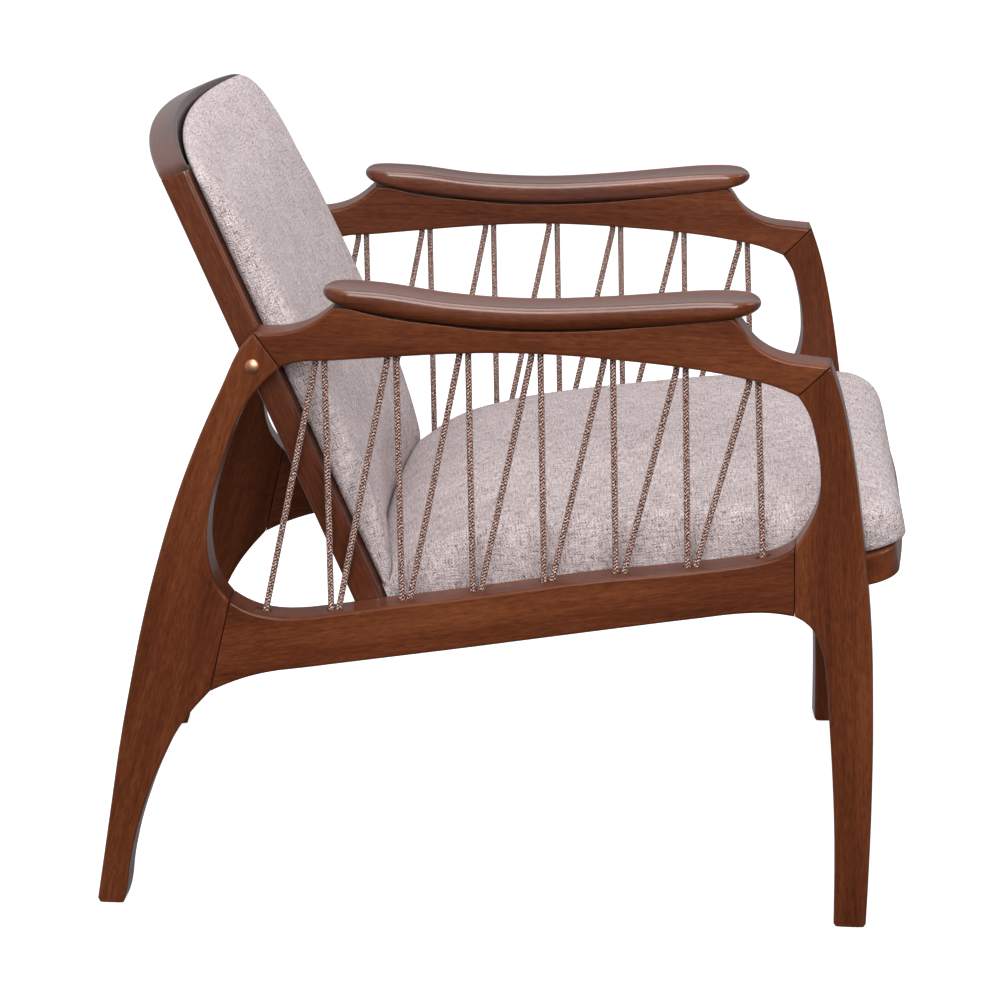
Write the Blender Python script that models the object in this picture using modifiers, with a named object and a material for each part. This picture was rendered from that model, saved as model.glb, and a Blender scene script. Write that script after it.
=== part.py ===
"""Wooden easy chair: two splayed, cord-laced side frames that carry a reclined, padded back and a padded seat.

The chair faces -Y, +Z is up, and X = 0 is its plane of symmetry. Lengths are in metres. "Right" and "left" are the
sitter's. Each side frame is flat and is drawn in its own plane: s runs back along the frame, z runs up, and d runs
inwards from its outer face. The back is drawn with v up its slope and g forwards from its rear face. The seat is
drawn with u back along its slope and w up from the top of the seat frame.
"""

import math

import bmesh
import bpy
import numpy as np
from mathutils import Matrix, Vector

MM = 0.001
GAP = 0.3 * MM  # between pieces that touch

# Side frames
SPLAY = math.radians(3.07)  # each side frame turns out towards the front by this
FRAME_X = 0.326  # outer face of a side frame from the middle, at Y = 0
FRAME_T = 0.040
MID_D = FRAME_T / 2
OUTLINE_STEPS = 3

CENTRE_Y = -0.0038  # brings the middle of the whole chair to Y = 0

# Armrests
ARM_REAR, ARM_FRONT = 0.173, -0.249
ARM_WIDTH_REAR, ARM_WIDTH_FRONT = 0.062, 0.070
ARM_THICK = 0.023

# Lacing
CORD_R = 2.75 * MM
LACE_PITCH = 0.070
LACE_LOWER_S = 0.235
LACE_UPPER_S = 0.177
LACE_LOWER_COUNT = 8
UPPER_LOOP_R = 4.3 * MM
LOWER_LOOP_R = 3.3 * MM
LOOP_DEPTH = 0.009  # centre of a loop inside its rail
POCKET_DEPTH = 0.017
POCKET_WIDTH = 0.0075
UPPER_POCKET, LOWER_POCKET = 0.019, 0.0185

# Back
LEAN = math.radians(23.75)
BACK_Y = 0.0086  # where the rear face of the back would meet the floor
STILE_DEPTH = 0.0275
STILE_WIDTH = 0.042
STILE_TOP_V = 0.796
STILE_FOOT_Z = 0.268
BACK_BULGE = 0.026  # how far the middle of the back sets back behind its ends
CREST_HALF = 0.267
CREST_TOP_V = 0.821
CREST_ARCH = 0.0185
CREST_CORNER = (0.016, 0.003)  # across and up
CREST_DEPTH = 0.0290
CREST_GAP = 0.0008  # over the stile tops, which turn a little with the side frames
CREST_TONGUE_V = 0.762  # the crest reaches down to here between the stiles
CREST_TONGUE_X = 0.2220
CREST_DOWEL_X, CREST_DOWEL_V = 0.2245, 0.779
LOWER_RAIL_V = (0.335, 0.385)
LOWER_RAIL_G = (0.010, 0.030)
PANEL_T = 0.008
PANEL_HALF = 0.216
PANEL_V = (0.348, 0.786)
PAD_HALF = 0.262
BACK_PAD_V = (0.341, 0.8136)
BACK_PAD_REAR = 0.0310
BACK_PAD_EDGE = 0.0255
BACK_PAD_CROWN = 0.014
BACK_PAD_CORNER = (0.035, 0.022)  # across and up, at its top
BOLT_S, BOLT_Z = 0.240, 0.556

# Seat
SEAT_TILT = math.radians(9.0)
SEAT_FRONT_Y, SEAT_FRONT_Z = -0.392, 0.375
SEAT_RAIL_H = 0.030
SEAT_RAIL_T = 0.022
SEAT_FRONT_RAIL_U = 0.050
SEAT_REAR_RAIL_U = (0.440, 0.480)
SEAT_CORNER_R = 0.045
SEAT_SCREWS_U = (0.150, 0.380)
SEAT_PAD_U = (-0.002, 0.500)
SEAT_PAD_SIDE = 0.010  # clearance to the side frames
SEAT_PAD_FRONT_EDGE = 0.042
SEAT_PAD_EDGE = 0.069
SEAT_PAD_CROWN = 0.024
BOARD_T = 0.009
BOARD_U = (0.025, 0.465)
BOARD_SIDE = 0.034

# Fasteners
DOWEL_R = 0.004
CAP_R = 0.0076
CAP_SEAT = 0.003
BOLT_HEAD = (0.006, 0.004)
BOLT_SHANK = (0.0035, 0.058)
SCREW_HEAD = (0.0045, 0.003)
STILE_SCREW_SHANK = (0.0025, 0.060)
SEAT_SCREW_SHANK = (0.0025, 0.042)
STILE_SCREW_AT = (0.120, 0.286)
ARMREST_DOWELS = {"rear": 0.072, "front": -0.138}

COLOURS = {
    "wood": ((0.095, 0.035, 0.019, 1), 0.38, 0.0),
    "inner_wood": ((0.42, 0.27, 0.14, 1), 0.6, 0.0),
    "plywood": ((0.50, 0.36, 0.21, 1), 0.65, 0.0),
    "linen": ((0.52, 0.46, 0.45, 1), 0.95, 0.0),
    "cord": ((0.30, 0.21, 0.16, 1), 0.85, 0.0),
    "copper": ((0.55, 0.22, 0.10, 1), 0.3, 1.0),
    "steel": ((0.60, 0.60, 0.60, 1), 0.35, 1.0),
}

# Outlines in a side frame's plane, in millimetres, (s, z). A trailing 1 marks a sharp corner.
REAR_LEG = (
    (239, 589, 1), (214, 555, 1), (231, 539), (253, 508), (269, 466), (281, 428), (287, 396), (287, 366),
    (280, 338), (266.5, 319, 1), (287.5, 225, 1), (315, 192), (337.5, 150), (354.5, 107), (367, 64), (377, 6, 1),
    (379, 0, 1), (403, 0, 1), (405, 4, 1), (399, 42), (389, 106), (379, 169), (367, 232), (354, 294),
    (338, 356), (319, 418), (296, 479), (270, 537), (252, 574),
)
FRONT_LEG = (
    (-317, 568, 1), (-286, 538, 1), (-296, 522), (-304, 496), (-309, 462), (-308, 436), (-301, 414),
    (-286, 388, 1), (-287, 318, 1), (-301, 309), (-312, 290), (-319, 256), (-323, 205), (-327, 150),
    (-330, 88), (-331, 3, 1), (-333, 0, 1), (-361, 0, 1), (-363, 3, 1), (-365, 70), (-366, 140), (-365, 220),
    (-362, 295), (-356, 362), (-348, 428), (-338, 490), (-327, 538),
)
ARM_RAIL_TOP = (
    (238.7, 589.3, 1), (226, 589.3), (207, 591), (190, 596), (176, 604), (164, 614), (158, 618, 1), (120, 608),
    (70, 600.5), (10, 596.5), (-50, 596), (-110, 599), (-170, 605), (-222, 614, 1), (-231, 606), (-240, 593),
    (-253, 582), (-272, 574), (-296, 570.5), (-316.7, 568.3, 1),
)
ARM_RAIL_UNDER = (
    (-285.7, 538.3, 1), (-262, 547.5), (-230, 555), (-180, 563), (-120, 569), (-50, 573.5), (0, 574),
    (50, 572), (110, 567.5), (165, 563), (198, 560.5), (213.7, 555.3, 1),
)
SIDE_RAIL_UNDER = (
    (287.1, 225, 1), (268, 234), (235, 245), (190, 252.5), (120, 263.5), (40, 276), (-40, 289), (-120, 302),
    (-190, 313), (-240, 320), (-267, 320.5), (-286.6, 318, 1),
)
SIDE_RAIL_TOP = (
    (-285.6, 388, 1), (-275, 380.5), (-255, 373), (-225, 367), (-160, 358), (-90, 349.5), (-20, 338),
    (50, 326.5), (110, 317.5), (165, 308.5), (205, 303.5), (230, 304.5), (250, 310), (266.1, 319, 1),
)
# Middle line of an armrest, (s, z) in millimetres, rear to front
ARM_LINE = ((173, 629), (140, 625), (90, 614.5), (20, 607), (-40, 606), (-110, 610), (-180, 618), (-225, 624.5), (-249, 627))

# Loose tenons: joint point (s, z), joint direction (in millimetres), width along the joint, depth in the piece
# before the joint and in the piece behind it
TENON_T = 0.012
TENONS = {
    "tenon_rear_arm": ((225.5, 570.8), (25, 34), 0.012, 0.016, 0.010),
    "tenon_rear_side": ((277, 272), (-21, 94), 0.050, 0.022, 0.028),
    "tenon_front_arm": ((-300, 551.5), (31, -30), 0.016, 0.020, 0.012),
    "tenon_front_side": ((-286.5, 350), (1, 70), 0.034, 0.025, 0.016),
}

chair = bpy.data.collections.new("wooden_armchair")
cutters = bpy.data.collections.new("cutters")


def clear_scene():
    for old in list(bpy.data.objects):
        bpy.data.objects.remove(old)
    bpy.context.scene.collection.children.link(chair)
    bpy.context.scene.collection.children.link(cutters)


def material(name):
    found = bpy.data.materials.get(name)
    if found:
        return found
    colour, roughness, metallic = COLOURS[name]
    made = bpy.data.materials.new(name)
    made.use_nodes = True
    shader = made.node_tree.nodes["Principled BSDF"]
    shader.inputs["Base Color"].default_value = colour
    shader.inputs["Roughness"].default_value = roughness
    shader.inputs["Metallic"].default_value = metallic
    return made


def side_matrix(side):
    """Maps a side frame's (s, z, local) to the world, where local = -side * d. side is -1 right, +1 left."""
    along = Vector((-side * math.sin(SPLAY), math.cos(SPLAY), 0))
    across = Vector((math.cos(SPLAY), side * math.sin(SPLAY), 0))
    frame = Matrix.Translation((side * FRAME_X, 0, 0)).to_4x4()
    for row in range(3):
        frame[row][0] = along[row]
        frame[row][1] = (0, 0, 1)[row]
        frame[row][2] = across[row]
    return frame


def side_point(side, s, z, d):
    return side_matrix(side) @ Vector((s, z, -side * d))


def back_point(x, v, g):
    """A point of the back, set rearwards by its plan curve. x is across, v up the slope, g forwards."""
    forward = g - BACK_BULGE * (1 - min(1, abs(x) / CREST_HALF) ** 2)
    y = BACK_Y + v * math.sin(LEAN) - forward * math.cos(LEAN)
    return Vector((x, y, v * math.cos(LEAN) + forward * math.sin(LEAN)))


def seat_point(x, u, w):
    y = SEAT_FRONT_Y + u * math.cos(SEAT_TILT) + w * math.sin(SEAT_TILT)
    return Vector((x, y, SEAT_FRONT_Z - u * math.sin(SEAT_TILT) + w * math.cos(SEAT_TILT)))


def inner_x(y, inset=0.0):
    """Half the clear width between the side frames at y, less inset on each side."""
    return FRAME_X - (FRAME_T + inset) / math.cos(SPLAY) - y * math.tan(SPLAY)


def new_object(name, mesh, colour, matrix=None, cutter=False):
    made = bpy.data.objects.new(name, mesh)
    (cutters if cutter else chair).objects.link(made)
    if matrix is not None:
        made.matrix_world = matrix
    if cutter:
        made.hide_render = True
        made.display_type = "WIRE"
    else:
        mesh.materials.append(material(colour))
    return made


def mesh_from(bm, name, smooth=False):
    bmesh.ops.recalc_face_normals(bm, faces=bm.faces)
    mesh = bpy.data.meshes.new(name)
    bm.to_mesh(mesh)
    bm.free()
    if smooth:
        mesh.shade_smooth()
        mesh.set_sharp_from_angle(angle=math.radians(35))
    return mesh


def curve_to_mesh(curve_object, colour, smooth=True):
    """Replaces a curve object with its mesh, caps welded, so that it can be cut."""
    bpy.context.view_layer.update()
    graph = bpy.context.evaluated_depsgraph_get()
    mesh = bpy.data.meshes.new_from_object(curve_object.evaluated_get(graph))
    name = curve_object.name
    matrix = curve_object.matrix_world.copy()
    bpy.data.objects.remove(curve_object)
    bm = bmesh.new()
    bm.from_mesh(mesh)
    bmesh.ops.remove_doubles(bm, verts=bm.verts, dist=1e-5)
    mesh.materials.clear()
    return new_object(name, mesh_from(bm, name, smooth), colour, matrix)


def plate(name, outline, side, d0, d1, colour="wood", steps=OUTLINE_STEPS):
    """A flat piece in a side frame's plane, from depth d0 to d1."""
    curve = bpy.data.curves.new(name, "CURVE")
    curve.dimensions = "2D"
    curve.fill_mode = "BOTH"
    curve.resolution_u = steps
    curve.extrude = (d1 - d0) / 2
    spline = curve.splines.new("BEZIER")
    spline.bezier_points.add(len(outline) - 1)
    spline.use_cyclic_u = True
    for point, (s, z, *corner) in zip(spline.bezier_points, outline):
        point.co = (s * MM, z * MM, 0)
        handle = "VECTOR" if corner else "AUTO"
        point.handle_left_type = handle
        point.handle_right_type = handle
    made = bpy.data.objects.new(name, curve)
    chair.objects.link(made)
    made.matrix_world = side_matrix(side) @ Matrix.Translation((0, 0, -side * (d0 + d1) / 2))
    return curve_to_mesh(made, colour)


def cut(target, *tools):
    for tool in tools:
        modifier = target.modifiers.new(tool.name, "BOOLEAN")
        modifier.operation = "DIFFERENCE"
        modifier.solver = "EXACT"
        modifier.object = tool


def bar_matrix(centre, axis, across):
    """A matrix whose Z runs along axis and whose X runs near across."""
    z = Vector(axis).normalized()
    y = z.cross(Vector(across)).normalized()
    x = y.cross(z)
    made = Matrix((x, y, z)).transposed().to_4x4()
    made.translation = centre
    return made


def block(name, size, matrix, colour="inner_wood", cutter=False, bevel=0.0):
    """A box of size (x, y, z) about its middle, with its Z edges rounded by bevel."""
    bm = bmesh.new()
    bmesh.ops.create_cube(bm, size=1.0)
    bmesh.ops.scale(bm, vec=size, verts=bm.verts)
    if bevel:
        upright = [e for e in bm.edges if abs(e.verts[0].co.z - e.verts[1].co.z) > size[2] / 2]
        bmesh.ops.bevel(bm, geom=upright, offset=bevel, segments=3, affect="EDGES", profile=0.5)
    return new_object(name, mesh_from(bm, name), colour, matrix, cutter)


def rod(name, radius, length, matrix, colour="inner_wood", cutter=False):
    """A cylinder about its middle, along its Z."""
    bm = bmesh.new()
    bmesh.ops.create_cone(
        bm, cap_ends=True, segments=12, radius1=radius, radius2=radius, depth=length
    )
    return new_object(name, mesh_from(bm, name, smooth=True), colour, matrix, cutter)


def turned(name, profile, matrix, colour, cutter=False, steps=12):
    """A turned piece about its Z. The profile is (radius, height) from the top of its axis to the bottom."""
    bm = bmesh.new()
    points = [bm.verts.new((radius, 0, height)) for radius, height in profile]
    for a, b in zip(points, points[1:]):
        bm.edges.new((a, b))
    mesh = bpy.data.meshes.new(name)
    bm.to_mesh(mesh)
    bm.free()
    made = new_object(name, mesh, colour, matrix, cutter)
    screw = made.modifiers.new("Turn", "SCREW")
    screw.steps = steps
    screw.render_steps = steps
    screw.use_merge_vertices = True
    screw.merge_threshold = 1e-5
    screw.use_smooth_shade = True
    return made


def headed(name, head_r, head_h, shank_r, shank_l, matrix, colour="steel", clearance=GAP):
    """A countersunk-flat fastener whose head starts at its origin and whose shank runs down -Z, with its cutter."""
    profile = [(0, 0), (head_r, 0), (head_r, -head_h), (shank_r, -head_h), (shank_r, -shank_l), (0, -shank_l)]
    piece = turned(name, profile, matrix, colour)
    c = clearance
    room = [(0, 0.02), (head_r + c, 0.02), (head_r + c, -head_h - c), (shank_r + c, -head_h - c),
            (shank_r + c, -shank_l - c), (0, -shank_l - c)]
    return piece, turned(name + "_room", room, matrix, None, cutter=True)


def lattice_box(name, xs, ys, zs, place, colour, levels=0, matrix=None, cutter=False):
    """A box of cells between the given stations, with each surface corner put where place(x, y, z) says."""
    bm = bmesh.new()
    found = {}

    def corner(i, j, k):
        if (i, j, k) not in found:
            found[i, j, k] = bm.verts.new(place(xs[i], ys[j], zs[k]))
        return found[i, j, k]

    sides = (len(xs) - 1, len(ys) - 1, len(zs) - 1)
    for axis in range(3):
        p, q = [a for a in range(3) if a != axis]
        for end in (0, sides[axis]):
            for a in range(sides[p]):
                for b in range(sides[q]):
                    ring = []
                    for da, db in ((0, 0), (1, 0), (1, 1), (0, 1)):
                        index = [end, end, end]
                        index[p], index[q] = a + da, b + db
                        ring.append(corner(*index))
                    bm.faces.new(ring)
    made = new_object(name, mesh_from(bm, name, smooth=True), colour, matrix, cutter)
    if levels:
        made.data.shade_smooth()
        subsurf = made.modifiers.new("Soft form", "SUBSURF")
        subsurf.levels = levels
        subsurf.render_levels = levels
    return made


def edge_height(outline, s):
    """Height of an edge list at s, in metres."""
    points = sorted((p[0], p[1]) for p in outline)
    return float(np.interp(s / MM, [p[0] for p in points], [p[1] for p in points])) * MM


def side_name(side):
    return "right" if side < 0 else "left"


# Side frames


def lace_pockets(name, side, outline, stations, width, upwards):
    """The slots cut in a rail's edge, one for each loop of the cord, as one cutter."""
    bm = bmesh.new()
    for s in stations:
        z = edge_height(outline, s) + upwards * (POCKET_DEPTH / 2 - 0.005)
        made = bmesh.ops.create_cube(bm, size=1.0)["verts"]
        bmesh.ops.scale(bm, vec=(width, POCKET_DEPTH + 0.010, POCKET_WIDTH), verts=made)
        bmesh.ops.translate(bm, vec=(s, z, -side * MID_D), verts=made)
    return new_object(name, mesh_from(bm, name), None, side_matrix(side), cutter=True)


def upper_stations():
    return [LACE_UPPER_S - LACE_PITCH * i for i in range(LACE_LOWER_COUNT - 1)]


def lower_stations():
    return [LACE_LOWER_S - LACE_PITCH * i for i in range(LACE_LOWER_COUNT)]


def loop_points(s, z, radius, upwards):
    """Half a turn of cord about (s, z), from the rear leg of the loop to the front one."""
    return [(s + radius * math.cos(a), z + upwards * radius * math.sin(a)) for a in np.linspace(0, math.pi, 5)]


def lacing_route():
    """(s, z) points of the cord, from its rear end in the side rail to its front end."""
    lower = [(s, edge_height(SIDE_RAIL_TOP, s) - LOOP_DEPTH) for s in lower_stations()]
    upper = [(s, edge_height(ARM_RAIL_UNDER, s) + LOOP_DEPTH) for s in upper_stations()]
    route = [(lower[0][0], lower[0][1] - 0.004)]
    for i, (s, z) in enumerate(upper):
        route += loop_points(s, z, UPPER_LOOP_R, 1)
        s, z = lower[i + 1]
        if i < len(upper) - 1:
            route += loop_points(s, z, LOWER_LOOP_R, -1)
    route.append((lower[-1][0], lower[-1][1] - 0.004))
    return route


def make_lacing(side):
    name = f"lacing_cord_{side_name(side)}"
    curve = bpy.data.curves.new(name, "CURVE")
    curve.dimensions = "3D"
    curve.bevel_depth = CORD_R
    curve.bevel_resolution = 2
    curve.use_fill_caps = True
    route = lacing_route()
    spline = curve.splines.new("POLY")
    spline.points.add(len(route) - 1)
    for point, (s, z) in zip(spline.points, route):
        point.co = (s, z, -side * MID_D, 1)
    made = bpy.data.objects.new(name, curve)
    chair.objects.link(made)
    made.matrix_world = side_matrix(side)
    return curve_to_mesh(made, "cord")


def make_tenon(name, side, spec, first, second):
    """A loose tenon across a joint, and its mortises in both pieces."""
    (s, z), along, width, before, after = spec
    centre = side_point(side, s * MM, z * MM, MID_D)
    turn = side_matrix(side).to_3x3()
    along = turn @ Vector((along[0], along[1], 0)).normalized()
    across = turn @ Vector((0, 0, 1))
    axis = along.cross(across)
    if axis.dot(turn @ Vector((1, 0, 0))) < 0:
        axis = -axis
    centre += axis * (after - before) / 2
    matrix = bar_matrix(centre, axis, along)
    full = f"{name}_{side_name(side)}"
    block(full, (width, TENON_T, before + after), matrix, bevel=0.004)
    room = (width + 2 * GAP, TENON_T + 2 * GAP, before + after + 2 * GAP)
    mortise = block(full + "_room", room, matrix, cutter=True, bevel=0.004)
    cut(first, mortise)
    cut(second, mortise)


def arm_point(side, a, b, c):
    """A point of an armrest. a runs 0 to 1 from its rear tip, b across from -1 outside to 1, c from -1 below to 1."""
    s = ARM_REAR + (ARM_FRONT - ARM_REAR) * a
    line = sorted((p[0] * MM, p[1] * MM) for p in ARM_LINE)
    z = float(np.interp(s, [p[0] for p in line], [p[1] for p in line]))
    tip = max(0, abs(2 * a - 1) - 0.80) / 0.20
    taper = math.sqrt(max(0, 1 - 0.62 * tip**2))
    width = ARM_WIDTH_REAR + (ARM_WIDTH_FRONT - ARM_WIDTH_REAR) * a
    thin = 1 - 0.45 * tip**2
    d = MID_D + b * taper * width / 2
    return Vector((s, z + c * thin * ARM_THICK / 2, -side * d))


def make_armrest(side):
    stations = (0, 0.015, 0.06, 0.14, 0.26, 0.38, 0.5, 0.62, 0.74, 0.86, 0.94, 0.985, 1)
    return lattice_box(
        f"armrest_{side_name(side)}", stations, (-1, -0.72, 0.72, 1), (-1, 1),
        lambda a, b, c: arm_point(side, a, b, c), "wood", levels=1, matrix=side_matrix(side),
    )


def armrest_room(side):
    """Everything above an armrest's underside, to seat the arm rail against it."""
    line = sorted((p[0] * MM, p[1] * MM) for p in ARM_LINE)

    def place(s, b, c):
        z = float(np.interp(s, [p[0] for p in line], [p[1] for p in line]))
        return (s, z - ARM_THICK / 2 - GAP + c * 0.06, -side * (MID_D + b * 0.03))

    stations = [p[0] for p in line]
    name = f"armrest_room_{side_name(side)}"
    return lattice_box(name, stations, (-1, 1), (0, 1), place, None, matrix=side_matrix(side), cutter=True)


def make_side_frame(side):
    """The four frame pieces of one side, with their joints, armrest, lacing and the back's bolt."""
    tag = side_name(side)
    frame = {
        "rear_leg": plate(f"rear_leg_{tag}", REAR_LEG, side, 0, FRAME_T),
        "front_leg": plate(f"front_leg_{tag}", FRONT_LEG, side, 0, FRAME_T),
        "arm_rail": plate(f"arm_rail_{tag}", ARM_RAIL_TOP + ARM_RAIL_UNDER, side, 0, FRAME_T),
        "side_rail": plate(f"side_rail_{tag}", SIDE_RAIL_UNDER + SIDE_RAIL_TOP, side, 0, FRAME_T),
    }
    make_tenon("tenon_rear_arm", side, TENONS["tenon_rear_arm"], frame["rear_leg"], frame["arm_rail"])
    make_tenon("tenon_rear_side", side, TENONS["tenon_rear_side"], frame["rear_leg"], frame["side_rail"])
    make_tenon("tenon_front_arm", side, TENONS["tenon_front_arm"], frame["front_leg"], frame["arm_rail"])
    make_tenon("tenon_front_side", side, TENONS["tenon_front_side"], frame["front_leg"], frame["side_rail"])
    upper = lace_pockets(f"upper_pockets_{tag}", side, ARM_RAIL_UNDER, upper_stations(), UPPER_POCKET, 1)
    lower = lace_pockets(f"lower_pockets_{tag}", side, SIDE_RAIL_TOP, lower_stations(), LOWER_POCKET, -1)
    cut(frame["arm_rail"], armrest_room(side), upper)
    cut(frame["side_rail"], lower)
    make_lacing(side)
    frame["armrest"] = make_armrest(side)
    for place, s in ARMREST_DOWELS.items():
        centre = side_point(side, s, edge_height(ARM_LINE, s) - ARM_THICK / 2 - 0.002, MID_D)
        dowel(f"armrest_dowel_{place}_{tag}", centre, (0, 0, 1), 0.022, frame["arm_rail"], frame["armrest"])
    return frame


def dowel(name, centre, axis, length, *pieces):
    """A dowel through two pieces, and its holes."""
    matrix = bar_matrix(centre, axis, (1, 0.1, 0.2))
    rod(name, DOWEL_R, length, matrix)
    cut_with = rod(name + "_room", DOWEL_R + GAP, length + 2 * GAP, matrix, cutter=True)
    for piece in pieces:
        cut(piece, cut_with)


# Back


def corner_drop(past, up):
    """How far a rounded corner has fallen, past running 0 to 1 over it."""
    return up * (1 - math.sqrt(max(0, 1 - past**2)))


def crest_top(x):
    across, up = CREST_CORNER
    past = max(0, abs(x) - (CREST_HALF - across)) / across
    return CREST_TOP_V - CREST_ARCH * (x / CREST_HALF) ** 2 - corner_drop(past, up)


def crest_bottom(x):
    return CREST_TONGUE_V if abs(x) < CREST_TONGUE_X + 0.001 else STILE_TOP_V + CREST_GAP


def mirrored(values):
    """Stations on both sides of the middle."""
    return sorted({-value for value in values} | set(values))


def make_stile(side):
    def point(z_or_v, g, at_top):
        if at_top:
            y = BACK_Y + z_or_v * math.sin(LEAN) - g * math.cos(LEAN)
            z = z_or_v * math.cos(LEAN) + g * math.sin(LEAN)
        else:
            z = z_or_v
            y = BACK_Y + z * math.tan(LEAN) - g / math.cos(LEAN)
        s = y / math.cos(SPLAY) + (FRAME_T + STILE_WIDTH / 2) * math.tan(SPLAY)
        return (s / MM, z / MM, 1)

    outline = (
        point(STILE_FOOT_Z, 0, False), point(STILE_TOP_V, 0, True),
        point(STILE_TOP_V, STILE_DEPTH, True), point(STILE_FOOT_Z, STILE_DEPTH, False),
    )
    return plate(f"stile_{side_name(side)}", outline, side, FRAME_T + GAP, FRAME_T + GAP + STILE_WIDTH, steps=1)


def make_crest():
    corner = [CREST_HALF - CREST_CORNER[0] * (1 - math.sin(a)) for a in np.linspace(0, math.pi / 2, 5)]
    stations = mirrored([0, 0.05, 0.10, 0.15, 0.20, CREST_TONGUE_X, CREST_TONGUE_X + 0.002] + corner)

    def place(x, c, g):
        return back_point(x, crest_top(x) if c else crest_bottom(x), g)

    return lattice_box("crest_rail", stations, (0, 1), (0, CREST_DEPTH), place, "wood")


def make_lower_rail():
    def place(a, v, g):
        flat = back_point(0, v, g)
        x = a * inner_x(flat.y, STILE_WIDTH + 3 * GAP)
        return back_point(x, v, g)

    stations = np.linspace(-1, 1, 9)
    return lattice_box("back_lower_rail", stations, LOWER_RAIL_V, LOWER_RAIL_G, place, "wood")


def panel_box(name, grow, rear, colour, cutter=False):
    stations = np.linspace(-PANEL_HALF - grow, PANEL_HALF + grow, 9)
    vs = (PANEL_V[0] - grow, PANEL_V[1] + grow)
    gs = (rear, LOWER_RAIL_G[1] + GAP + PANEL_T + grow)
    return lattice_box(name, stations, vs, gs, back_point, colour, cutter=cutter)


def back_pad_point(a, b, c):
    """a runs -1 to 1 across, b 0 to 1 up the slope, c 0 at the rear to 1 at the front."""
    x = a * PAD_HALF
    across, up = BACK_PAD_CORNER
    past = max(0, abs(x) - (PAD_HALF - across)) / across
    top = BACK_PAD_V[1] - CREST_ARCH * a**2 - corner_drop(past, up)
    v = BACK_PAD_V[0] + (top - BACK_PAD_V[0]) * b
    ends = 1 - (2 * b - 1) ** 6
    crown = (1 - a**2) * (1 - (2 * b - 1) ** 4)
    g = BACK_PAD_REAR + c * (BACK_PAD_EDGE * (0.45 + 0.55 * ends) + BACK_PAD_CROWN * crown)
    return back_point(x, v, g)


def make_back_pad():
    pad = lattice_box(
        "back_pad", mirrored((0, 0.45, 0.86, 0.94, 1)), (0, 0.07, 0.3, 0.6, 0.86, 0.96, 1), (0, 0.3, 1),
        back_pad_point, "linen", levels=1,
    )
    room = panel_box("panel_room", GAP, LOWER_RAIL_G[1] - 0.03, None, cutter=True)
    cut(pad, room)
    for side in (-1, 1):
        cut(pad, stile_room(side))
    return pad


def stile_room(side):
    """The space that a stile takes, a little proud of its front face, to clear the pad."""

    def place(s, v, g):
        y = BACK_Y + v * math.sin(LEAN) - g * math.cos(LEAN)
        x = side * (inner_x(y) - s)
        return (x, y, v * math.cos(LEAN) + g * math.sin(LEAN))

    name = f"stile_room_{side_name(side)}"
    across = (-0.02, STILE_WIDTH + 2 * GAP)
    front = STILE_DEPTH + STILE_WIDTH / 2 * math.sin(SPLAY) + 2 * GAP  # a stile's front face turns with its side frame
    return lattice_box(name, across, (0.25, 0.83), (-0.02, front), place, None, cutter=True)


def make_back(frames):
    stiles = {side: make_stile(side) for side in (-1, 1)}
    crest = make_crest()
    lower = make_lower_rail()
    panel_box("back_panel", 0, LOWER_RAIL_G[1] + GAP, "plywood")
    make_back_pad()
    for side, stile in stiles.items():
        tag = side_name(side)
        dowel(f"crest_dowel_{tag}", back_point(side * CREST_DOWEL_X, CREST_DOWEL_V, 0.019), (1, 0, 0), 0.040, stile, crest)
        joint_v = sum(LOWER_RAIL_V) / 2
        joint_x = inner_x(back_point(0, joint_v, 0.02).y, STILE_WIDTH)
        at = back_point(side * joint_x, joint_v, 0.020)
        dowel(f"lower_rail_dowel_{tag}", at, (1, 0, 0), 0.040, stile, lower)
        make_back_bolt(side, frames[side]["rear_leg"], stile)
        make_stile_screw(side, frames[side]["side_rail"], stile)


def make_back_bolt(side, leg, stile):
    """The bolt through the rear leg into the stile, and the domed cap over its head."""
    tag = side_name(side)
    outwards = side_matrix(side).to_3x3() @ Vector((0, 0, side))
    seat = bar_matrix(side_point(side, BOLT_S, BOLT_Z, 0), outwards, (0, 0, 1))
    dome = [(CAP_R * math.sin(a), 0.0035 * math.cos(a)) for a in np.linspace(0, math.pi / 2, 6)]
    turned(f"bolt_cap_{tag}", dome + [(CAP_R, -CAP_SEAT), (0, -CAP_SEAT)], seat, "copper")
    room = [(0, 0.01), (CAP_R + GAP, 0.01), (CAP_R + GAP, -CAP_SEAT - GAP), (0, -CAP_SEAT - GAP)]
    cut(leg, turned(f"cap_room_{tag}", room, seat, None, cutter=True))
    head = bar_matrix(side_point(side, BOLT_S, BOLT_Z, CAP_SEAT + 2 * GAP), outwards, (0, 0, 1))
    _, bolt_room = headed(f"back_bolt_{tag}", *BOLT_HEAD, *BOLT_SHANK, head)
    cut(leg, bolt_room)
    cut(stile, bolt_room)


def make_stile_screw(side, rail, stile):
    inwards = side_matrix(side).to_3x3() @ Vector((0, 0, -side))
    s, z = STILE_SCREW_AT
    head = bar_matrix(side_point(side, s, z, FRAME_T + STILE_WIDTH), inwards, (0, 0, 1))
    _, room = headed(f"stile_screw_{side_name(side)}", *SCREW_HEAD, *STILE_SCREW_SHANK, head)
    cut(stile, room)
    cut(rail, room)


# Seat


def seat_place(inset):
    """Places (a, u, w) on the seat, with a = 1 against a side frame less inset."""
    def place(a, u, w):
        flat = seat_point(0, u, w)
        return seat_point(a * inner_x(flat.y, inset), u, w)
    return place


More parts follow.
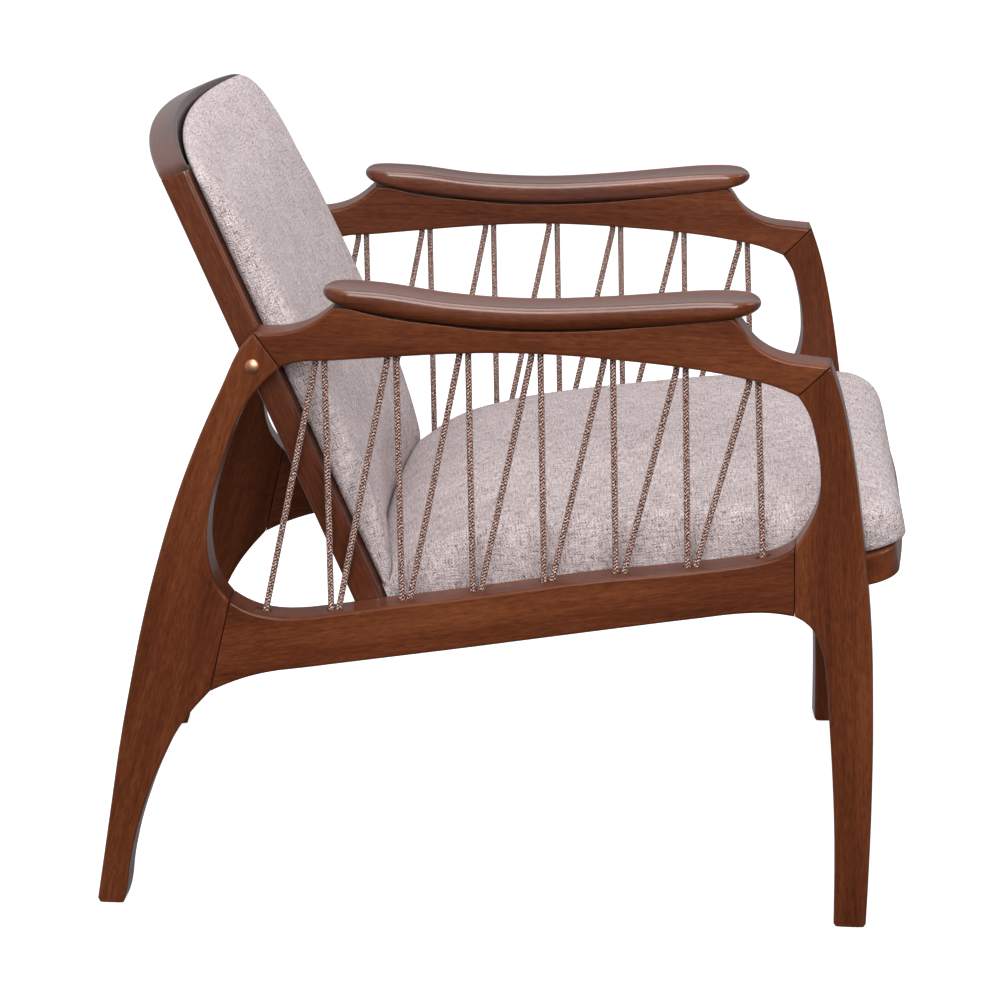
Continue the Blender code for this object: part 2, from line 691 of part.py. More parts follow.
def make_seat_front_rail():
    half = inner_x(SEAT_FRONT_Y + SEAT_FRONT_RAIL_U, 2 * GAP)
    r = SEAT_CORNER_R
    arc = [(half - r + r * math.cos(a), r - r * math.sin(a)) for a in np.linspace(0, math.pi / 2, 9)]
    outline = [(half, SEAT_FRONT_RAIL_U)] + arc
    outline += [(-x, u) for x, u in reversed(outline)]
    curve = bpy.data.curves.new("seat_front_rail", "CURVE")
    curve.dimensions = "2D"
    curve.fill_mode = "BOTH"
    curve.extrude = SEAT_RAIL_H / 2
    spline = curve.splines.new("POLY")
    spline.points.add(len(outline) - 1)
    spline.use_cyclic_u = True
    for point, (x, u) in zip(spline.points, outline):
        point.co = (x, u, 0, 1)
    made = bpy.data.objects.new("seat_front_rail", curve)
    chair.objects.link(made)
    made.matrix_world = Matrix.Translation(seat_point(0, 0, -SEAT_RAIL_H / 2)) @ Matrix.Rotation(-SEAT_TILT, 4, "X")
    return curve_to_mesh(made, "wood")


def make_seat_side_rail(side):
    def place(t, u, w):
        flat = seat_point(0, u, w)
        return seat_point(side * (inner_x(flat.y, GAP) - t), u, w)

    us = (SEAT_FRONT_RAIL_U + GAP, SEAT_REAR_RAIL_U[0] - GAP)
    name = f"seat_side_rail_{side_name(side)}"
    return lattice_box(name, (0, SEAT_RAIL_T), us, (-SEAT_RAIL_H, 0), place, "wood")


def seat_pad_point(a, b, c):
    """a runs -1 to 1 across, b 0 to 1 from front to rear, c 0 at the bottom to 1 at the top."""
    rise = math.sin(min(1, b / 0.8) * math.pi / 2)
    edge = SEAT_PAD_FRONT_EDGE + (SEAT_PAD_EDGE - SEAT_PAD_FRONT_EDGE) * rise
    crown = (1 - a**2) * (1 - (2 * b - 1) ** 4)
    u = SEAT_PAD_U[0] + (SEAT_PAD_U[1] - SEAT_PAD_U[0]) * b
    return seat_place(SEAT_PAD_SIDE)(a, u, 2 * GAP + c * (edge + SEAT_PAD_CROWN * crown))


def make_seat_pad():
    pad = lattice_box(
        "seat_pad", mirrored((0, 0.45, 0.92, 1)), (0, 0.05, 0.3, 0.6, 0.92, 1), (0, 0.1, 0.65, 1),
        seat_pad_point, "linen", levels=1,
    )
    us = (BOARD_U[0] - GAP, BOARD_U[1] + GAP)
    room = lattice_box("board_room", (-1, 1), us, (-0.01, BOARD_T + 2 * GAP), seat_place(BOARD_SIDE - GAP), None,
                       cutter=True)
    cut(pad, room)
    return pad


def make_seat(frames):
    front = make_seat_front_rail()
    rear = lattice_box("seat_rear_rail", (-1, 1), SEAT_REAR_RAIL_U, (-SEAT_RAIL_H, 0), seat_place(GAP), "wood")
    lattice_box("seat_board", (-1, 1), BOARD_U, (GAP, GAP + BOARD_T), seat_place(BOARD_SIDE), "plywood")
    make_seat_pad()
    back_along = (0, math.cos(SEAT_TILT), -math.sin(SEAT_TILT))
    middle_w = -SEAT_RAIL_H / 2
    for side in (-1, 1):
        tag = side_name(side)
        rail = make_seat_side_rail(side)
        for end, u, other in (("front", SEAT_FRONT_RAIL_U, front), ("rear", SEAT_REAR_RAIL_U[0], rear)):
            flat = seat_point(0, u, middle_w)
            at = seat_point(side * (inner_x(flat.y) - SEAT_RAIL_T / 2), u, middle_w)
            dowel(f"seat_dowel_{end}_{tag}", at, back_along, 0.036, rail, other)
        inwards = side_matrix(side).to_3x3() @ Vector((0, 0, -side))
        for end, u in zip(("front", "rear"), SEAT_SCREWS_U):
            flat = seat_point(0, u, middle_w)
            at = seat_point(side * (inner_x(flat.y) - SEAT_RAIL_T), u, middle_w)
            head = bar_matrix(at, inwards, (0, 0, 1))
            _, room = headed(f"seat_screw_{end}_{tag}", *SCREW_HEAD, *SEAT_SCREW_SHANK, head)
            cut(rail, room)
            cut(frames[side]["side_rail"], room)


def main():
    clear_scene()
    frames = {side: make_side_frame(side) for side in (-1, 1)}
    make_back(frames)
    make_seat(frames)
    for made in list(chair.objects) + list(cutters.objects):
        made.matrix_world = Matrix.Translation((0, CENTRE_Y, 0)) @ made.matrix_world


main()
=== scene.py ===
import math

import bmesh
import bpy
import numpy as np
from mathutils import Matrix, Vector, noise
from mathutils.bvhtree import BVHTree
from mathutils.geometry import tessellate_polygon


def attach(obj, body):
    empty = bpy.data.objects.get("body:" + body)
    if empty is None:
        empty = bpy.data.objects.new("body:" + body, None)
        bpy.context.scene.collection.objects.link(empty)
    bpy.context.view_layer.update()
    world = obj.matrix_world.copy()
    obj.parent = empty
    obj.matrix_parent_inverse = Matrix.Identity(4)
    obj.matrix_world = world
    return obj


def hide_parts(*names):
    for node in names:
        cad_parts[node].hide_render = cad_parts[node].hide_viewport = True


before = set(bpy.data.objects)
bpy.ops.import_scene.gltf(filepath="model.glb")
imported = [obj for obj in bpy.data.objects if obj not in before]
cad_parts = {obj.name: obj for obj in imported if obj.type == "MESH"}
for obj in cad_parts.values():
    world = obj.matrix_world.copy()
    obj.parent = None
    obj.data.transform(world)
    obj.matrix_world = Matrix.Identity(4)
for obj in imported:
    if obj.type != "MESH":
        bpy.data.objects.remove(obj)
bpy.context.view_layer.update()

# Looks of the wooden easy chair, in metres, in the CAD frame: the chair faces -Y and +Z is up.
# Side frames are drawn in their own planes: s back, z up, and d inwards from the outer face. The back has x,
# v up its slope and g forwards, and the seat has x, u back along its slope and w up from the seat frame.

MM = 0.001
GAP = 0.3 * MM
CENTRE_Y = -0.0038

# Side frames
SPLAY = math.radians(3.07)
FRAME_X = 0.326
FRAME_T = 0.040
MID_D = FRAME_T / 2
EDGE_R, JOINT_R, CRISP_R = 0.0034, 0.0014, 0.0010
BOLT_S, BOLT_Z = 0.240, 0.556
CAP_R, CAP_DOME, CAP_REST = 0.0076, 0.0035, 0.0029

# Armrests: their ends along s, how much they narrow and lift half way, and the lengths of their round tips
ARM_REAR, ARM_FRONT = 0.173, -0.249
ARM_WAIST, ARM_LIFT = 0.0055, 0.0022
ARM_TIP, ARM_TIP_PLAN, ARM_TIP_THICK = 0.034, 0.029, 0.012
ARM_NOSE, ARM_CURL, ARM_DISH = 0.0085, 0.0125, 0.0016
ARM_SEAT, ARM_NEAR = (-0.224, 0.160), 0.0035
# An armrest's underside, top and half width along s, in millimetres, before its tips are rounded
ARM_UNDER = ((-249, 618.6), (-200, 609.2), (-150, 603), (-100, 598.5), (-25, 595.2), (50, 599.2),
             (120, 609.6), (173, 622))
ARM_TOP = ((-249, 630.4), (-200, 630), (-150, 625.8), (-100, 621.5), (-25, 618.2), (50, 622.2),
           (120, 632), (173, 635.2))
ARM_HALF = ((-249, 33.8), (-180, 33.9), (0, 32.3), (120, 30.9), (173, 30.2))

# Back
LEAN = math.radians(23.75)
BACK_Y = 0.0086
STILE_WIDTH = 0.042
STILE_TOP_V = 0.796
BACK_BULGE = 0.026
CREST_HALF = 0.267
CREST_TOP_V, CREST_ARCH = 0.826, 0.0255
CREST_CORNER = (0.026, 0.0070)
CREST_DEPTH, CREST_SWELL = 0.029, 0.003
CREST_BOTTOM_V = 0.7968
CREST_TONGUE_V = 0.762
CREST_TONGUE_X = 0.2220
LOWER_RAIL_V = (0.335, 0.385)
LOWER_RAIL_G = (0.010, 0.030)
PANEL_HALF = 0.216
PANEL_V = (0.348, 0.786)
PANEL_FRONT_G = 0.0383

# Back pad: half width, extent up the slope, rear face, and how its top falls to its sides
PAD_HALF = 0.2645
BACK_PAD_V = (0.340, 0.8168)
BACK_PAD_REAR = 0.0312
BACK_PAD_ARCH = 0.0185
BACK_PAD_CORNER = (0.036, 0.017)
BACK_PAD_CROWN, BACK_PAD_TUCK, BACK_PAD_EASE = 0.017, 0.0065, 0.015
# Its thickness, in millimetres, by how far up it lies, in hundredths of its height
BACK_PROFILE = ((0, 9), (2, 15), (5, 19), (9, 22), (16, 25.5), (24, 27), (42, 27), (62, 26), (76, 24),
                (86, 21), (92, 18.5), (96, 15.5), (98.5, 11.5), (100, 7.5))

# Seat frame and pad
SEAT_TILT = math.radians(9.0)
SEAT_FRONT_Y, SEAT_FRONT_Z = -0.392, 0.375
SEAT_RAIL_H = 0.030
FRONT_RAIL_R, FRONT_RAIL_BACK, FRONT_RAIL_REACH = 0.0035, 0.0045, 0.05
BOARD_T = 0.009
BOARD_U = (0.025, 0.465)
BOARD_SIDE = 0.034
SEAT_PAD_SIDE = 0.010
SEAT_PAD_U = (-0.0068, 0.534)
SEAT_PAD_CORNER = 0.050
SEAT_PAD_CROWN, SEAT_PAD_TUCK, SEAT_PAD_EASE = 0.022, 0.005, 0.024
# Its height along u, both in millimetres
SEAT_PROFILE = ((-6.8, 19), (-4, 26), (2.5, 32.5), (14, 39), (42, 46), (100, 52.5), (190, 60), (240, 63),
                (340, 67.5), (400, 68), (435, 65.5), (465, 59), (488, 50.5), (504, 43), (520, 33), (534, 22))
PUCKER_DEPTH, PUCKER_PITCH = 0.0022, 0.031
MOST_SWELL = 0.005
PAD_REST = 0.0006

# Lacing
CORD_R = 3.15 * MM
CORD_STEP, BRAID_PITCH = 0.0011, 0.0034
LACE_PITCH = 0.070
LACE_LOWER_S, LACE_UPPER_S, LACE_LOWER_COUNT = 0.235, 0.177, 8
UPPER_LOOP_R, LOWER_LOOP_R = 4.4 * MM, 3.2 * MM
UPPER_LOOP, LOWER_LOOP = 0.008, 0.0055
LEG = 0.015
CORD_END = 0.004
POCKET_DEPTH, POCKET_WIDTH, POCKET_OPEN = 0.017, 0.0075, 0.010
UPPER_POCKET, LOWER_POCKET = 0.0166, 0.0150

# Edges that the lacing passes, and the joint lines between frame pieces, (s, z) in millimetres
ARM_RAIL_UNDER = ((-285.7, 538.3), (-262, 547.5), (-230, 555), (-180, 563), (-120, 569), (-50, 573.5),
                  (0, 574), (50, 572), (110, 567.5), (165, 563), (198, 560.5), (213.7, 555.3))
SIDE_RAIL_TOP = ((-285.6, 388), (-275, 380.5), (-255, 373), (-225, 367), (-160, 358), (-90, 349.5),
                 (-20, 338), (50, 326.5), (110, 317.5), (165, 308.5), (205, 303.5), (230, 304.5),
                 (250, 310), (266.1, 319))
JOINTS = (((239, 589), (214, 555)), ((266.5, 319), (287.5, 225)), ((-317, 568), (-286, 538)),
          ((-286, 388), (-287, 318)))
JOINT_NEAR = 0.0016


# Frames of reference


def side_matrix(side):
    """Maps a side frame's (s, z, -side * d) to the world. side is -1 right, +1 left."""
    along = Vector((-side * math.sin(SPLAY), math.cos(SPLAY), 0))
    across = Vector((math.cos(SPLAY), side * math.sin(SPLAY), 0))
    made = Matrix.Translation((side * FRAME_X, CENTRE_Y, 0)).to_4x4()
    for row in range(3):
        made[row][0], made[row][1], made[row][2] = along[row], (0, 0, 1)[row], across[row]
    return made


def seat_matrix():
    corner = Matrix.Translation((0, SEAT_FRONT_Y + CENTRE_Y, SEAT_FRONT_Z))
    return corner @ Matrix.Rotation(-SEAT_TILT, 4, "X")


def bulge(x):
    return BACK_BULGE * (1 - np.minimum(1, np.abs(x) / CREST_HALF) ** 2)


def back_point(x, v, g):
    forward = g - bulge(x)
    y = BACK_Y + CENTRE_Y + v * math.sin(LEAN) - forward * math.cos(LEAN)
    return np.stack(np.broadcast_arrays(x, y, v * math.cos(LEAN) + forward * math.sin(LEAN)), -1)


def back_place(points):
    """(x, v, g) of world points."""
    x, y, z = points[:, 0], points[:, 1] - BACK_Y - CENTRE_Y, points[:, 2]
    return x, y * math.sin(LEAN) + z * math.cos(LEAN), z * math.sin(LEAN) - y * math.cos(LEAN) + bulge(x)


def seat_point(x, u, w):
    y = SEAT_FRONT_Y + CENTRE_Y + u * math.cos(SEAT_TILT) + w * math.sin(SEAT_TILT)
    z = SEAT_FRONT_Z - u * math.sin(SEAT_TILT) + w * math.cos(SEAT_TILT)
    return np.stack(np.broadcast_arrays(x, y, z), -1)


def seat_place(points):
    """(x, u, w) of world points."""
    y, z = points[:, 1] - SEAT_FRONT_Y - CENTRE_Y, points[:, 2] - SEAT_FRONT_Z
    u = y * math.cos(SEAT_TILT) - z * math.sin(SEAT_TILT)
    return points[:, 0], u, y * math.sin(SEAT_TILT) + z * math.cos(SEAT_TILT)


def inner_x(y, inset=0.0):
    """Half the clear width between the side frames at world y, less inset on each side."""
    return FRAME_X - (FRAME_T + inset) / math.cos(SPLAY) - (y - CENTRE_Y) * math.tan(SPLAY)


def side_name(side):
    return "right" if side < 0 else "left"


def through(matrix, points):
    turn = np.array(matrix.to_3x3())
    return np.asarray(points, float) @ turn.T + np.array(matrix.translation)


# Shader nodes


def new_material(name):
    made = bpy.data.materials.new(name)
    made.use_nodes = True
    return made, made.node_tree, made.node_tree.nodes["Principled BSDF"]


def put(tree, socket, value):
    if isinstance(value, bpy.types.NodeSocket):
        tree.links.new(value, socket)
    else:
        socket.default_value = value


def add(tree, kind, sockets, **settings):
    made = tree.nodes.new("ShaderNode" + kind)
    for key, value in settings.items():
        setattr(made, key, value)
    for key, value in sockets.items():
        put(tree, made.inputs[key], value)
    return made


def calc(tree, operation, a, b=0.0):
    return add(tree, "Math", {0: a, 1: b}, operation=operation).outputs[0]


def mix(tree, factor, a, b):
    return add(tree, "Mix", {0: factor, 6: a, 7: b}, data_type="RGBA").outputs[2]


def ramp(tree, factor, stops):
    made = add(tree, "ValToRGB", {0: factor})
    while len(made.color_ramp.elements) < len(stops):
        made.color_ramp.elements.new(0.5)
    for element, (position, colour) in zip(made.color_ramp.elements, stops):
        element.position = position
        element.color = (*colour, 1)
    return made.outputs[0]


def levels(tree, value, low, high):
    """value mapped from low..high to 0..1."""
    return add(tree, "MapRange", {"Value": value, "From Min": low, "From Max": high}).outputs[0]


def noise_of(tree, vector, scale, detail, roughness):
    """Noise over a vector stretched by scale (x, y, z) in cycles a metre."""
    stretched = add(tree, "Mapping", {"Vector": vector, "Scale": scale}).outputs[0]
    sockets = {"Vector": stretched, "Scale": 1.0, "Detail": detail, "Roughness": roughness}
    return add(tree, "TexNoise", sockets).outputs[0]


def constants(shader, values):
    for name, value in values.items():
        shader.inputs[name].default_value = value


def bump(tree, shader, height, distance, strength):
    made = add(tree, "Bump", {"Height": height, "Distance": distance, "Strength": strength})
    put(tree, shader.inputs["Normal"], made.outputs[0])


def attribute(tree, name, output="Fac"):
    return add(tree, "Attribute", {}, attribute_name=name).outputs[output]


def weighted(tree, value, weight):
    return calc(tree, "MULTIPLY", value, weight)


def total(tree, first, *others):
    """The sum of the values."""
    for other in others:
        first = calc(tree, "ADD", first, other)
    return first


def times(colour, factor):
    """The colour made lighter or darker, with its alpha."""
    return (*[part * factor for part in colour], 1)


DARK_STAIN = ((0.048, 0.0105, 0.0034), (0.104, 0.0240, 0.0072), (0.176, 0.0480, 0.0155))
FRAME_STAIN = ((0.056, 0.0135, 0.0050), (0.118, 0.0300, 0.0105), (0.196, 0.0580, 0.0210))
PLY_STAIN = ((0.15, 0.070, 0.034), (0.24, 0.125, 0.062), (0.34, 0.19, 0.10))
BEECH = ((0.36, 0.21, 0.11), (0.47, 0.30, 0.165), (0.56, 0.38, 0.22))


def wood(name, tones, turn=None, roughness=0.30, wear_and_painted_light=True, shine=0.5, coat=0.30):
    """Stained wood, its grain along x of the grain attribute, or of object coordinates turned by turn."""
    material, tree, shader = new_material(name)
    if turn is None:
        grain = attribute(tree, "grain", "Vector")
    else:
        place = add(tree, "TexCoord", {}).outputs["Object"]
        grain = add(tree, "Mapping", {"Vector": place, "Rotation": turn}).outputs[0]
    figure = noise_of(tree, grain, (2.6, 26, 26), 3, 0.55)
    lines = noise_of(tree, grain, (13, 330, 330), 3, 0.6)
    fleck = noise_of(tree, grain, (85, 420, 420), 2, 0.6)
    pores = noise_of(tree, grain, (130, 1150, 1150), 1, 0.5)
    tone = total(tree, weighted(tree, figure, 0.50), weighted(tree, lines, 0.20),
                 weighted(tree, fleck, 0.30))
    stops = [(0.0, tones[0]), (0.5, tones[1]), (1.0, tones[2])]
    colour = ramp(tree, levels(tree, tone, 0.33, 0.67), stops)
    pore = levels(tree, pores, 0.40, 0.30)
    colour = mix(tree, weighted(tree, pore, 0.40), colour, times(tones[0], 0.5))
    if wear_and_painted_light:
        # Rounded edges are lightened for wear and a painted highlight.
        edge = calc(tree, "MULTIPLY", attribute(tree, "edge"), levels(tree, figure, 0.36, 0.62))
        colour = mix(tree, weighted(tree, edge, 0.28), colour, times(tones[2], 1.35))
        # Joints are darkened, and so are places in shade, as painted shade.
        joint = attribute(tree, "joint")
        colour = mix(tree, weighted(tree, joint, 0.55), colour, times(tones[0], 0.3))
    put(tree, shader.inputs["Base Color"], colour)
    put(tree, shader.inputs["Roughness"], total(tree, weighted(tree, lines, 0.14), roughness - 0.07))
    constants(shader, {"Specular IOR Level": shine, "Coat Weight": coat, "Coat Roughness": 0.10})
    bump(tree, shader, calc(tree, "SUBTRACT", lines, weighted(tree, pore, 0.6)), 0.00012, 0.5)
    return material


def linen(name):
    """Greige linen with uneven threads and dark slubs both ways, over the weave UV in metres."""
    thread_pitch = 0.0036
    material, tree, shader = new_material(name)
    uv = add(tree, "UVMap", {}, uv_map="weave").outputs[0]
    wander = add(tree, "TexNoise", {"Vector": uv, "Scale": 70.0, "Detail": 3.0}).outputs["Color"]
    wander = add(tree, "VectorMath", {0: wander, 1: (0.5, 0.5, 0.5)}, operation="SUBTRACT").outputs[0]
    wander = add(tree, "VectorMath", {0: wander, "Scale": 0.0045}, operation="SCALE").outputs[0]
    place = add(tree, "VectorMath", {0: uv, 1: wander}, operation="ADD").outputs[0]
    parts = add(tree, "SeparateXYZ", {0: place})
    warp = calc(tree, "SINE", weighted(tree, parts.outputs[0], 2 * math.pi / thread_pitch))
    weft = calc(tree, "SINE", weighted(tree, parts.outputs[1], 2 * math.pi / thread_pitch))
    over = calc(tree, "MULTIPLY", warp, weft)
    warp_slub = noise_of(tree, place, (640, 80, 1), 2, 0.6)
    weft_slub = noise_of(tree, place, (80, 640, 1), 2, 0.6)
    speck = noise_of(tree, place, (560, 560, 1), 2, 0.7)
    cloud = noise_of(tree, place, (30, 30, 1), 3, 0.55)
    lines = calc(tree, "ADD", warp_slub, weft_slub)
    tone = total(tree, weighted(tree, lines, 0.85), weighted(tree, speck, 1.1), weighted(tree, over, 0.10),
                 weighted(tree, cloud, 0.25))
    stops = [(0.0, (0.15, 0.095, 0.092)), (0.30, (0.48, 0.39, 0.388)), (0.62, (0.69, 0.585, 0.588)),
             (1.0, (0.95, 0.86, 0.865))]
    colour = ramp(tree, levels(tree, tone, 1.16, 1.90), stops)
    thread = calc(tree, "MAXIMUM", levels(tree, warp_slub, 0.37, 0.29), levels(tree, weft_slub, 0.37, 0.29))
    colour = mix(tree, weighted(tree, thread, 0.55), colour, (0.16, 0.105, 0.10, 1))
    put(tree, shader.inputs["Base Color"], colour)
    constants(shader, {"Roughness": 0.92, "Specular IOR Level": 0.2,
                       "Sheen Weight": 0.15, "Sheen Roughness": 0.45})
    bump(tree, shader, total(tree, weighted(tree, over, 0.12), lines, speck), 0.0028, 0.85)
    return material


def braid(name):
    """Herringbone of light and dark yarns over the braid UV: x once round, y along in metres."""
    material, tree, shader = new_material(name)
    uv = add(tree, "UVMap", {}, uv_map="braid").outputs[0]
    parts = add(tree, "SeparateXYZ", {0: uv})
    strand = calc(tree, "FRACT", weighted(tree, parts.outputs[0], 3.0))
    fold = calc(tree, "ABSOLUTE", calc(tree, "SUBTRACT", strand, 0.5))
    slant = total(tree, calc(tree, "DIVIDE", parts.outputs[1], BRAID_PITCH), weighted(tree, fold, 2.0))
    yarn = calc(tree, "SINE", weighted(tree, slant, 2 * math.pi))
    spot = noise_of(tree, uv, (11, 560, 1), 1, 0.5)
    tone = total(tree, weighted(tree, yarn, 0.15), spot)
    stops = [(0.0, (0.022, 0.008, 0.005)), (0.30, (0.085, 0.034, 0.023)), (0.56, (0.34, 0.185, 0.145)),
             (1.0, (0.97, 0.72, 0.64))]
    put(tree, shader.inputs["Base Color"], ramp(tree, levels(tree, tone, 0.32, 0.74), stops))
    constants(shader, {"Roughness": 0.8, "Specular IOR Level": 0.25, "Sheen Weight": 0.12})
    bump(tree, shader, yarn, 0.0005, 0.6)
    return material


def metal(name, colour, roughness, scale):
    """Metal with fine brushed or cast unevenness."""
    material, tree, shader = new_material(name)
    place = add(tree, "TexCoord", {}).outputs["Object"]
    cast = noise_of(tree, place, scale, 3, 0.6)
    dull = tuple(c * 0.72 for c in colour)
    tint = ramp(tree, levels(tree, cast, 0.3, 0.7), [(0.0, dull), (1.0, colour)])
    put(tree, shader.inputs["Base Color"], tint)
    put(tree, shader.inputs["Roughness"], total(tree, weighted(tree, cast, 0.18), roughness - 0.09))
    constants(shader, {"Metallic": 1.0})
    bump(tree, shader, cast, 0.00005, 0.5)
    return material


# Mesh pieces


def mesh_object(name, points, faces):
    """An object of the faces, all facing outwards."""
    mesh = bpy.data.meshes.new(name)
    mesh.from_pydata([tuple(map(float, p)) for p in points], [], [tuple(f) for f in faces])
    bm = bmesh.new()
    bm.from_mesh(mesh)
    bmesh.ops.recalc_face_normals(bm, faces=bm.faces)
    bm.to_mesh(mesh)
    bm.free()
    made = bpy.data.objects.new(name, mesh)
    bpy.context.scene.collection.objects.link(made)
    return made


def make_piece(name, points, faces, material, node, slot, sharp=48, **layers):
    """A smooth-shaded piece on the chair's one body. Layers are values for each point."""
    made = mesh_object(name, points, faces)
    mesh = made.data
    for key, values in layers.items():
        values = np.asarray(values, np.float32)
        kind, field = ("FLOAT_VECTOR", "vector") if values.ndim == 2 else ("FLOAT", "value")
        mesh.attributes.new(key, kind, "POINT").data.foreach_set(field, values.ravel())
    mesh.materials.append(material)
    mesh.shade_smooth()
    mesh.set_sharp_from_angle(angle=math.radians(sharp))
    weigh_normals(made)
    apply_modifiers(made)
    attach(made, "root")
    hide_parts(node)
    return made


def values_of(items, field, kind=int, width=1):
    found = np.zeros(len(items) * width, kind)
    items.foreach_get(field, found)
    return found


def coordinates(mesh):
    return values_of(mesh.vertices, "co", float, 3).reshape(-1, 3)


def set_coordinates(mesh, points):
    mesh.vertices.foreach_set("co", np.ascontiguousarray(points, float).ravel())
    mesh.update()


def weigh_normals(made):
    """Lets the large faces set the shading, so that flats look flat up to their rounded edges."""
    modifier = made.modifiers.new("weighted", "WEIGHTED_NORMAL")
    modifier.mode = "FACE_AREA"
    modifier.weight = 90
    modifier.keep_sharp = True


def evaluated_mesh(made):
    bpy.context.view_layer.update()
    graph = bpy.context.evaluated_depsgraph_get()
    return bpy.data.meshes.new_from_object(made.evaluated_get(graph))


def apply_modifiers(made):
    mesh = evaluated_mesh(made)
    made.modifiers.clear()
    made.data = mesh


def loop_faces(count, first, second):
    """Quads between two rings of count points."""
    return [(first + i, first + (i + 1) % count, second + (i + 1) % count, second + i) for i in range(count)]


def ring_piece(rings):
    """Points and faces of a closed form through rings of equal length, with flat ends."""
    count = len(rings[0])
    faces = []
    for i in range(len(rings) - 1):
        faces += loop_faces(count, i * count, (i + 1) * count)
    last = (len(rings) - 1) * count
    faces += [tuple(range(count)), tuple(range(last, last + count))]
    return np.concatenate(rings), faces


def outline_of(node, matrix, plane):
    """The longest edge loop of a CAD node's flat face at local z = plane, as (n, 2)."""
    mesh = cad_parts[node].data
    inverse = matrix.inverted()
    found, ids = {}, []
    for vertex in mesh.vertices:
        at = inverse @ vertex.co
        ids.append(found.setdefault((round(at.x, 5), round(at.y, 5), round(at.z, 5)), len(found)))
    points, edges = list(found), set()
    for polygon in mesh.polygons:
        ring = [ids[i] for i in polygon.vertices]
        if all(abs(points[i][2] - plane) < 5e-5 for i in ring):
            for a, b in zip(ring, ring[1:] + ring[:1]):
                if (b, a) in edges:
                    edges.remove((b, a))
                else:
                    edges.add((a, b))
    follow, loops = dict(edges), []
    while follow:
        start = at = next(iter(follow))
        loop = []
        while at in follow:
            loop.append(points[at][:2])
            at = follow.pop(at)
        if at == start:
            loops.append(np.array(loop))
    return max(loops, key=lambda p: np.linalg.norm(p - np.roll(p, 1, 0), axis=1).sum())


def refined(loop, step=0.004, corner=24):
    """The loop with more points, on smooth curves through its corners of less than corner degrees. A long
    straight side between two hard corners gets only a few, clear of its ends."""
    clear, long = 0.0065, 0.025
    ahead = np.roll(loop, -1, 0) - loop
    length = np.linalg.norm(ahead, axis=1)
    way = ahead / length[:, None]
    before = np.roll(way, 1, 0)
    hard = (way * before).sum(1) < math.cos(math.radians(corner))
    blend = before / np.roll(length, 1)[:, None] + way / length[:, None]
    blend /= np.linalg.norm(blend, axis=1)[:, None]
    points = []
    for i in range(len(loop)):
        j = (i + 1) % len(loop)
        start = way[i] if hard[i] else blend[i]
        end = way[i] if hard[j] else blend[j]
        steps = np.arange(max(1, round(length[i] / step))) / max(1, round(length[i] / step))
        if hard[i] and hard[j] and length[i] > long:
            steps = np.array([0, *np.linspace(clear, length[i] - clear, 5) / length[i]])
        t = steps[:, None]
        points.append((2 * t**3 - 3 * t**2 + 1) * loop[i] + (3 * t**2 - 2 * t**3) * loop[j]
                      + length[i] * ((t**3 - 2 * t**2 + t) * start + (t**3 - t**2) * end))
    return np.concatenate(points)


def insets(points, radii):
    """Each point's step inwards to where its two edges, moved in by their radii, meet."""
    sharp, most = 0.25, 0.9
    way = np.roll(points, -1, 0) - points
    way /= np.linalg.norm(way, axis=1)[:, None]
    inward = np.stack((-way[:, 1], way[:, 0]), 1)
    steps = np.zeros_like(points)
    for i in range(len(points)):
        n1, n2, r1, r2 = inward[i - 1], inward[i], radii[i - 1], radii[i]
        cross = n1[0] * n2[1] - n1[1] * n2[0]
        if abs(cross) > sharp:
            steps[i] = ((r1 * n2[1] - r2 * n1[1]) / cross, (r2 * n1[0] - r1 * n2[0]) / cross)
        else:
            middle = (n1 + n2) / np.linalg.norm(n1 + n2)
            steps[i] = middle * (r1 + r2) / 2 / max(most, middle @ n1)
    return steps


def on_joint(middle, joints):
    for (a, b) in joints:
        a, b = np.array(a) * MM, np.array(b) * MM
        t = np.clip((middle - a) @ (b - a) / ((b - a) @ (b - a)), 0, 1)
        if np.linalg.norm(a + t * (b - a) - middle) < JOINT_NEAR:
            return True
    return False


def ccw(loop):
    area = (loop[:, 0] * np.roll(loop[:, 1], -1) - loop[:, 1] * np.roll(loop[:, 0], -1)).sum()
    return loop if area > 0 else loop[::-1]


